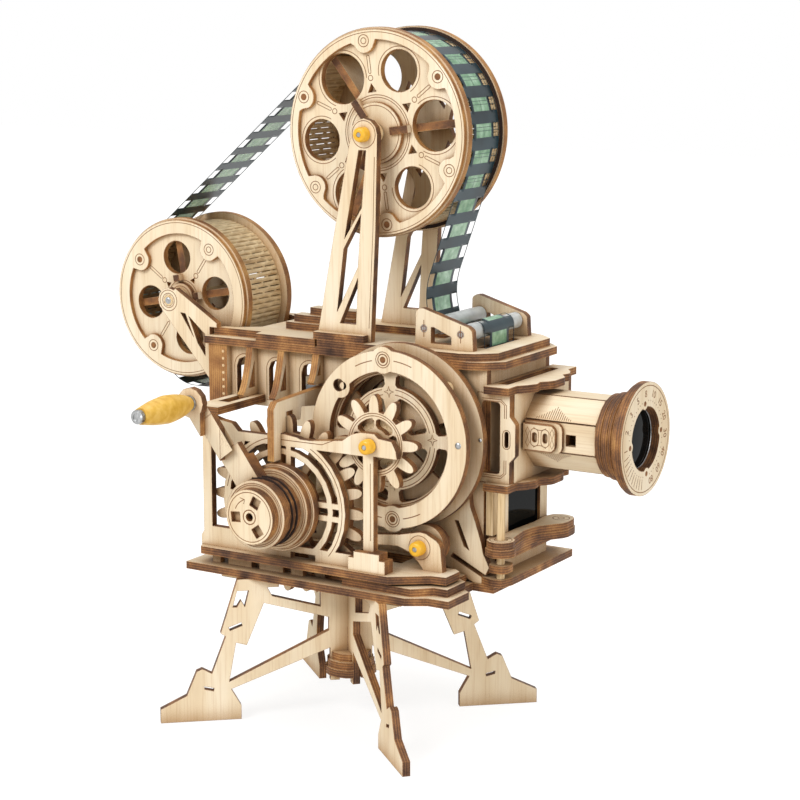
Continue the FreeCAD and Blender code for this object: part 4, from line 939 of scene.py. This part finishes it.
def build_engraving():
    """Lines burnt into the housing, the bearing frame, the barrel, the towers and the cheeks."""
    marks = Engraving()
    wall = front(span("front_wall", 1)[0])
    arch_lines(marks, wall)
    dots = Engraving()
    posts = front(span("end_posts", 1)[0])
    for z in np.arange(131.0, 151.0, 3.1):
        dots.spot((-59.9, z), 0.62, posts, 10)
    dots.piece("post_dots", "housing", "dowel_z")
    rear = back(span("rear_wall", 1)[1])
    for x in (-40.0, -8.0, 24.0, 50.0):
        for z in (66.5, 111.5, 149.0):
            tab = [(x - 4.0, z - 1.6), (x + 4.0, z - 1.6), (x + 4.0, z + 1.6), (x - 4.0, z + 1.6)]
            marks.line(tab, rear, 0.4, True)
    for centre in (UPPER, LEFT):
        marks.ring(centre, 5.6, back(span("reel_towers", 1)[1]), THIN)
    arch_lines(marks, rear)
    bearing = front(span("bearing_frame", 1)[0] + PLY)
    ring_centre = (CRANK[0] + 0.6, CRANK[1])
    marks.line(arc(ring_centre, 28.8, -40.0, 62.0), bearing, THIN)
    marks.line(arc(ring_centre, 28.8, 96.0, 170.0), bearing, THIN)
    marks.line([(-16.0, 121.2), (10.0, 121.2), (17.5, 124.4)], bearing, THIN)
    marks.line([(33.2, 84.0), (33.2, 116.0)], bearing, HAIR)
    lens_side = front(span("lens_sides", 1)[0])
    for step in (0.0, 0.9):
        for flip in (1.0, -1.0):
            corner = [(66.6, 16.2 - step), (75.3, 16.2 - step), (77.7 - step, 14.0), (77.7 - step, 8.6)]
            marks.line([(x, 124.85 + flip * z) for x, z in corner], lens_side, FINE)
    marks.line(strip((77.8, 122.6), (77.8, 127.1), 3.4), lens_side, FINE, True)
    sighting_mark(marks, 62.2, 119.5, wall)
    # a triangle of strokes on the facets above and below the front one, its base near that one's edge
    for angle, way in ((135.0, -1.0), (225.0, 1.0)):
        slanted = facet(angle, LENS, 15.3)
        base = -5.6 * way
        for k in range(-8, 9):
            x = 92.5 + 0.95 * k
            reach = 0.8 + 5.6 * (1.0 - abs(k) / 8.5) ** 1.4
            marks.line([(x, base), (x, base + way * reach)], slanted, FINE)
    badge = front(span("badge_plates", 1)[0])
    border = [(81.6, 119.9), (94.1, 119.9), (95.2, 121.4), (95.2, 129.1), (94.1, 130.6), (81.6, 130.6)]
    marks.line(border, badge, HAIR)
    for x in (85.95, 90.75):
        marks.line(strip((x, 123.4), (x, 127.1), 3.6, 10), badge, HAIR, True)
    for x in (82.8, 93.9):
        marks.line([(x, 125.25), (x + 0.9, 127.6), (x, 129.3), (x - 0.9, 127.6)], badge, FAINT, True)
        marks.line([(x, 125.25), (x + 0.9, 122.9), (x, 121.2), (x - 0.9, 122.9)], badge, FAINT, True)
    marks.line(arc((88.35, 133.0), 4.6, 232.0, 308.0), badge, FAINT)
    marks.line(arc((88.35, 117.5), 4.6, 52.0, 128.0), badge, FAINT)
    tower = front(span("reel_towers", 1)[0])
    marks.ring(UPPER, 5.6, tower, THIN)
    marks.ring(LEFT, 4.6, tower, THIN)
    marks.ring(LEFT, 3.2, tower, THIN)
    marks.line([(12.6, 165.0), (14.6, 205.0), (15.4, 236.0)], tower, HAIR)
    cheek = front(span("film_cheeks", 1)[0])
    for x, z in ROLLERS:
        sighting_mark(marks, x, z, cheek, 7.0)
    buttress = front(span("buttress", 1)[0])
    marks.ring((51.4, 80.2), 1.0, buttress, LINE)
    marks.line([(50.5, 78.0), (53.2, 78.0), (53.2, 82.4), (50.5, 82.4)], buttress, FINE, True)
    bracket = front(span("idler_bracket", 1)[0])
    marks.ring(IDLER, 5.0, bracket, FINE)
    marks.piece("housing_marks", "housing")
    lever = Engraving()
    plate = top(span("gate_lever", 2)[1])
    for centre, radius in ((DOWEL, 4.6), (DOWEL, 2.7), ((80.6, 58.5), 3.6), ((80.6, 58.5), 1.4)):
        lever.ring(centre, radius, plate, LINE)
    lever.piece("lever_marks", "gate_lever")


def build_screws():
    """Domed steel screws and pin ends, and the dark pane in the gate with its two discs."""
    shape = Shape()
    ring_y = span("front_ring", 1)[0]
    share = np.linspace(0.0, 1.0, 7)
    for centre, radius, y in ((point(PINION, 33.0, 2.0), 1.35, ring_y),
                              (LEFT, 1.5, span("reel_trusses", 1)[0] - 0.3),
                              (point(PINION, 37.0, 3.0), 0.8, span("backing_ring", 1)[0] + 4.6)):
        dome = [(y - 0.55 * math.sqrt(1.0 - t * t * 0.99), radius * t + 0.02) for t in share]
        shape.lathe(dome + [(y + 0.3, radius)], centre, "y", "steel", 28)
    shape.piece("screws", "housing", "steel")
    # dark pane behind the gate window, in the glass finish whose near-black colour is painted shade
    pane = Shape()
    gate = span("gate_frame", 0)[1]
    window = [(27.5, 78.7), (55.5, 78.7), (55.5, 99.9), (27.5, 99.9)]
    pane.cut(window, [], side(gate - 1.2), 0.4, "glass")
    for y in (33.0, 50.0):
        pane.cut(circle((y, 79.4), 2.7, 32), [], side(gate - 0.12), 1.0, "ply_x")
    pane.piece("gate_pane", "housing", "glass")


def tangent(first, second):
    """Ends of the straight run between two guide circles, each (x, z, radius, turn)."""
    x1, z1, r1, turn1 = first
    x2, z2, r2, turn2 = second
    distance = math.hypot(x2 - x1, z2 - z1)
    normal = math.atan2(z2 - z1, x2 - x1) + math.acos((turn2 * r2 - turn1 * r1) / distance)
    away = np.array([math.cos(normal), math.sin(normal)])
    return np.array([x1, z1]) - turn1 * r1 * away, np.array([x2, z2]) - turn2 * r2 * away


def film_route():
    """Centreline of the film: arcs round the guide circles joined by their tangents."""
    roller = ROLLER + FILM_LIFT
    # circles (x, z, radius, turn): small reel, upper reel, the free bow before the rollers, the
    # rollers, two guessed bends in the housing and the bow under the small reel
    guides = [(*LEFT, LEFT_DRUM + FILM_LIFT, -1), (*UPPER, UPPER_DRUM + FILM_LIFT, -1),
              (59.65, 178.0, 28.0, 1), (*ROLLERS[0], roller, 1), (*ROLLERS[1], roller, -1),
              (47.25, 86.0, 12.0, -1), (-44.35, 98.8, 31.0, 1), (-88.85, 146.0, 16.8, -1)]
    runs = [tangent(guides[i], guides[(i + 1) % len(guides)]) for i in range(len(guides))]
    path = []
    for i, (x, z, radius, turn) in enumerate(guides):
        arrive = runs[i - 1][1] - (x, z)
        leave = runs[i][0] - (x, z)
        start = math.degrees(math.atan2(arrive[1], arrive[0]))
        stop = math.degrees(math.atan2(leave[1], leave[0]))
        while (stop - start) * turn <= 0:
            stop += 360.0 * turn
        path.append(arc((x, z), radius, start, stop, 2.0))
    return np.vstack(path + [path[0][:1]])


def build_film(pitch):
    """Film strip: the route walked in even steps (one parameter) by the strip's width (the other), with
    the perforation cells left open and the frame cells in a second finish."""
    path = film_route()
    lengths = np.linalg.norm(np.diff(path, axis=0), axis=1)
    walked = np.concatenate([[0.0], np.cumsum(lengths)])
    frames = int(round(walked[-1] / pitch))
    # cell borders along one frame, as shares of its pitch
    cells = np.array([0.0, 0.08, 0.16, 0.24, 0.36, 0.38, 0.50, 0.52, 0.76, 0.88])
    rows = frames * len(cells)
    at = (np.repeat(np.arange(frames), len(cells)) + np.tile(cells, frames)) * walked[-1] / frames
    x = np.interp(at, walked, path[:, 0])
    z = np.interp(at, walked, path[:, 1])
    # cell borders across one half of the strip in mm: middle bar, picture, start of the perforation,
    # both sides of the bar in it, its end, edge of the strip
    half = np.array([0.15, 6.2, 8.1, 10.15, 10.3, 12.4, 12.8])
    across = sum(span("film", 1)) / 2.0 + np.concatenate([-half[::-1], half])
    columns = len(across)
    vertices = np.stack([np.repeat(x, columns), np.tile(across, rows), np.repeat(z, columns)], -1)
    faces = grid_faces(rows, columns, True, False)
    row = np.repeat(np.arange(rows) % len(cells), columns - 1)
    column = np.tile(np.arange(columns - 1), rows)
    window = (row >= 3) & (row < 8)
    # on the upper reel the frame is divided and bars cross the perforations
    wound = np.repeat(np.hypot(x - UPPER[0], z - UPPER[1]) < 43.0, columns - 1)
    hole = window & (((column > 0) & (column < 4)) | ((column > 8) & (column < 12)))
    hole &= ~(wound & ((row == 6) | (column == 2) | (column == 10)))
    divided = wound & ((row == 4) | (row == 6) | ((column == 6) & (row > 3)))
    picture = window & (column >= 5) & (column < 8) & ~divided
    piece = put("film_strip", vertices, faces[~hole], "film", "housing", True,
                ["film", "picture"], picture[~hole].astype(int))
    wall = piece.modifiers.new("thickness", "SOLIDIFY")
    wall.thickness = 0.16 * MM
    wall.offset = 0.0
    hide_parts("film")


CAMERA_AT = (481.62, -732.37, 302.97)     # mm, solved from the photograph
AZIMUTH = 31.3                            # degrees
ELEVATION = 10.8                          # degrees
FOCAL = 96.75                             # mm on the 36 mm sensor, 2150 pixels over 800


def build_camera(context):
    """Camera at the photograph's angle, level, aimed along its azimuth and elevation."""
    a = math.radians(AZIMUTH)
    e = math.radians(ELEVATION)
    back_way = Vector((math.sin(a) * math.cos(e), -math.cos(a) * math.cos(e), math.sin(e)))
    data = bpy.data.cameras.new("camera")
    data.lens = FOCAL
    data.sensor_width = 36.0
    data.clip_start = 0.05
    data.clip_end = 20.0
    camera = bpy.data.objects.new("camera", data)
    camera.location = Vector(CAMERA_AT) * MM
    camera.rotation_mode = "QUATERNION"
    camera.rotation_quaternion = (-back_way).to_track_quat("-Z", "Y")
    context.scene.collection.objects.link(camera)
    context.scene.camera = camera


def lamp(context, name, place, aim, size, power):
    """Soft square area lamp, place and aim in metres."""
    data = bpy.data.lights.new(name, "AREA")
    data.size = size
    data.energy = power
    made = bpy.data.objects.new(name, data)
    made.location = place
    made.rotation_mode = "QUATERNION"
    made.rotation_quaternion = (Vector(aim) - Vector(place)).to_track_quat("-Z", "Y")
    context.scene.collection.objects.link(made)


def seen_directly(tree):
    """1 for rays that come from the camera, a mirror-like surface or through glass."""
    ray = add(tree, "LightPath").outputs
    seen = ray["Is Camera Ray"]
    for kind in ("Is Transmission Ray", "Is Glossy Ray"):
        seen = add(tree, "Math", {0: seen, 1: ray[kind]}, operation="MAXIMUM")
    return seen


def build_lamps(context):
    centre = (0.0, 0.0, 0.14)
    lamp(context, "key", (-0.35, -1.3, 1.15), centre, 0.7, 18.5)
    lamp(context, "fill", (1.5, -0.55, 0.55), centre, 1.0, 9.0)
    lamp(context, "overhead", (0.1, 0.3, 1.6), centre, 1.0, 9.0)
    world = bpy.data.worlds.new("studio")
    context.scene.world = world
    world.use_nodes = True
    tree = world.node_tree
    tree.nodes.clear()
    soft = add(tree, "Background", {"Color": "#FFFAF2", "Strength": 0.39})
    white = add(tree, "Background", {"Color": "#FFFFFF", "Strength": 1.0})
    both = add(tree, "MixShader", {0: seen_directly(tree), 1: soft, 2: white})
    add(tree, "OutputWorld", {"Surface": both})
    context.scene.view_settings.view_transform = "Standard"


def build_floor():
    """White floor: matt paper for the lamps, and almost plain white for the camera."""
    half = 3.0
    mesh = bpy.data.meshes.new("floor")
    corners = [(-half, -half, 0.0), (half, -half, 0.0), (half, half, 0.0), (-half, half, 0.0)]
    mesh.from_pydata(corners, [], [(0, 1, 2, 3)])
    floor = bpy.data.objects.new("floor", mesh)
    floor.location = (0.0, 0.0, -0.0002)
    bpy.context.scene.collection.objects.link(floor)
    material, tree, output = blank("white_paper_floor")
    paper = add(tree, "BsdfDiffuse", {"Color": "#E9E6E0"})
    # seen directly, the paper is as white as the backdrop, and only near the feet keeps some shadow
    place = add(tree, "TexCoord").outputs["Object"]
    strength = add(tree, "VectorMath", {0: place}, operation="LENGTH")
    for operation, value in (("MULTIPLY", 0.75), ("ADD", 0.80), ("MINIMUM", 1.0)):
        strength = add(tree, "Math", {0: strength, 1: value}, operation=operation)
    glow = add(tree, "Emission", {"Color": "#FFFFFF", "Strength": strength})
    shadow = add(tree, "BsdfDiffuse", {"Color": "#868686"})
    lit = add(tree, "AddShader", {0: shadow, 1: glow})
    both = add(tree, "MixShader", {0: seen_directly(tree), 1: paper, 2: lit})
    tree.links.new(both.outputs[0], output.inputs["Surface"])
    mesh.materials.append(material)


# operators

class KitSettings(bpy.types.PropertyGroup):
    """Sizes and colours that a user would change."""
    cap_colour: bpy.props.StringProperty(
        name="Cap colour", description="Hex colour of the axle caps", default="#F0BC34")
    cap_colour_dark: bpy.props.StringProperty(
        name="Cap shade", description="Darker tone of the axle caps", default="#E2A824")
    film_pitch: bpy.props.FloatProperty(
        name="Frame pitch", description="Distance between two film frames in mm",
        default=10.9, min=4.0, max=30.0)
    slit_pitch: bpy.props.FloatProperty(
        name="Slit pitch", description="Distance between the slits of the drums in mm",
        default=2.3, min=1.0, max=6.0)


class KITBUILD_OT_materials(bpy.types.Operator):
    """Make every finish and give it to the CAD nodes"""
    bl_idname = "kitbuild.materials"
    bl_label = "Finishes"

    def execute(self, context):
        FINISH.update(make_finishes(context.scene.kit_settings))
        chosen = {node: key for key, names in NODE_FINISH.items() for node in names}
        unknown = sorted(set(chosen) - set(frame["nodes"]))
        if unknown:
            raise RuntimeError(f"no CAD node named {unknown}")
        for name, node in frame["nodes"].items():
            node.data.materials.clear()
            node.data.materials.append(FINISH[chosen.get(name, "ply_y")])
        return {"FINISHED"}


class KITBUILD_OT_film(bpy.types.Operator):
    """Thread the film over both reels, the rollers and through the housing"""
    bl_idname = "kitbuild.film"
    bl_label = "Film"

    def execute(self, context):
        build_film(context.scene.kit_settings.film_pitch)
        return {"FINISHED"}


class KITBUILD_OT_reels(bpy.types.Operator):
    """Flanges, rims and slotted drums of the two reels"""
    bl_idname = "kitbuild.reels"
    bl_label = "Reels"

    def execute(self, context):
        pitch = context.scene.kit_settings.slit_pitch
        upper_holes = [(8.0 + 60.0 * i, 27.6, 8.7 if i % 2 else 10.5) for i in range(6)]
        upper_lobes = [(38.5 + 60.0 * i, 37.9, i % 2 == 0) for i in range(6)]
        corners = [(38.5 + 60.0 * i, 18.0, 2.4) for i in range(6)]
        build_reel("upper_reel", UPPER, 43.2, 38.2, 12.6, UPPER_DRUM, upper_holes, upper_lobes, corners,
                   15.6, (25.0, 31.4, 22.6), pitch)
        left_holes = [(10.0 + 90.0 * i, 18.0, 7.3) for i in range(4)]
        left_lobes = [(55.0 + 90.0 * i, 27.4, i != 0) for i in range(4)]
        left_corners = [(55.0 + 90.0 * i, 9.6, 1.5) for i in range(4)]
        build_reel("left_reel", LEFT, 35.4, 28.6, 6.6, LEFT_DRUM, left_holes, left_lobes, left_corners,
                   7.9, (14.6, 21.6, 12.4), pitch)
        return {"FINISHED"}


class KITBUILD_OT_wheels(bpy.types.Operator):
    """Ornamental ring, fixed wheel and backing ring"""
    bl_idname = "kitbuild.wheels"
    bl_label = "Wheels"

    def execute(self, context):
        build_wheels()
        return {"FINISHED"}


class KITBUILD_OT_gears(bpy.types.Operator):
    """Crank gear and pinion"""
    bl_idname = "kitbuild.gears"
    bl_label = "Gears"

    def execute(self, context):
        build_gears()
        return {"FINISHED"}


class KITBUILD_OT_fittings(bpy.types.Operator):
    """Axles, caps, rollers, idler, screws and the gate's pane"""
    bl_idname = "kitbuild.fittings"
    bl_label = "Fittings"

    def execute(self, context):
        build_fittings()
        build_screws()
        return {"FINISHED"}


class KITBUILD_OT_crank(bpy.types.Operator):
    """Crank drums and grip"""
    bl_idname = "kitbuild.crank"
    bl_label = "Crank"

    def execute(self, context):
        build_crank()
        return {"FINISHED"}


class KITBUILD_OT_lens(bpy.types.Operator):
    """Focusing ring with its dial and glass"""
    bl_idname = "kitbuild.lens"
    bl_label = "Lens"

    def execute(self, context):
        build_lens()
        return {"FINISHED"}


class KITBUILD_OT_engraving(bpy.types.Operator):
    """Burnt lines on the plates"""
    bl_idname = "kitbuild.engraving"
    bl_label = "Engraving"

    def execute(self, context):
        build_engraving()
        return {"FINISHED"}


class KITBUILD_OT_stage(bpy.types.Operator):
    """Camera, lamps, floor and backdrop"""
    bl_idname = "kitbuild.stage"
    bl_label = "Stage"

    def execute(self, context):
        build_camera(context)
        build_lamps(context)
        build_floor()
        return {"FINISHED"}


# in the order in which main calls them
STEPS = [KITBUILD_OT_materials, KITBUILD_OT_reels, KITBUILD_OT_wheels, KITBUILD_OT_gears,
         KITBUILD_OT_crank, KITBUILD_OT_fittings, KITBUILD_OT_lens, KITBUILD_OT_engraving,
         KITBUILD_OT_film, KITBUILD_OT_stage]


class KITBUILD_PT_panel(bpy.types.Panel):
    """Panel with a button for each step of the build"""
    bl_label = "Projector kit"
    bl_space_type = "VIEW_3D"
    bl_region_type = "UI"
    bl_category = "Projector"

    def draw(self, context):
        for step in STEPS:
            self.layout.operator(step.bl_idname)


CLASSES = [KitSettings] + STEPS + [KITBUILD_PT_panel]


def register():
    """Add the settings, the operators and the panel."""
    for kind in CLASSES:
        bpy.utils.register_class(kind)
    bpy.types.Scene.kit_settings = bpy.props.PointerProperty(type=KitSettings)


def unregister():
    """Take them out again."""
    del bpy.types.Scene.kit_settings
    for kind in reversed(CLASSES):
        bpy.utils.unregister_class(kind)


def main():
    """Build everything in order."""
    register()
    for step in STEPS:
        getattr(bpy.ops.kitbuild, step.bl_idname.split(".")[1])()


if __name__ == "__main__":
    main()
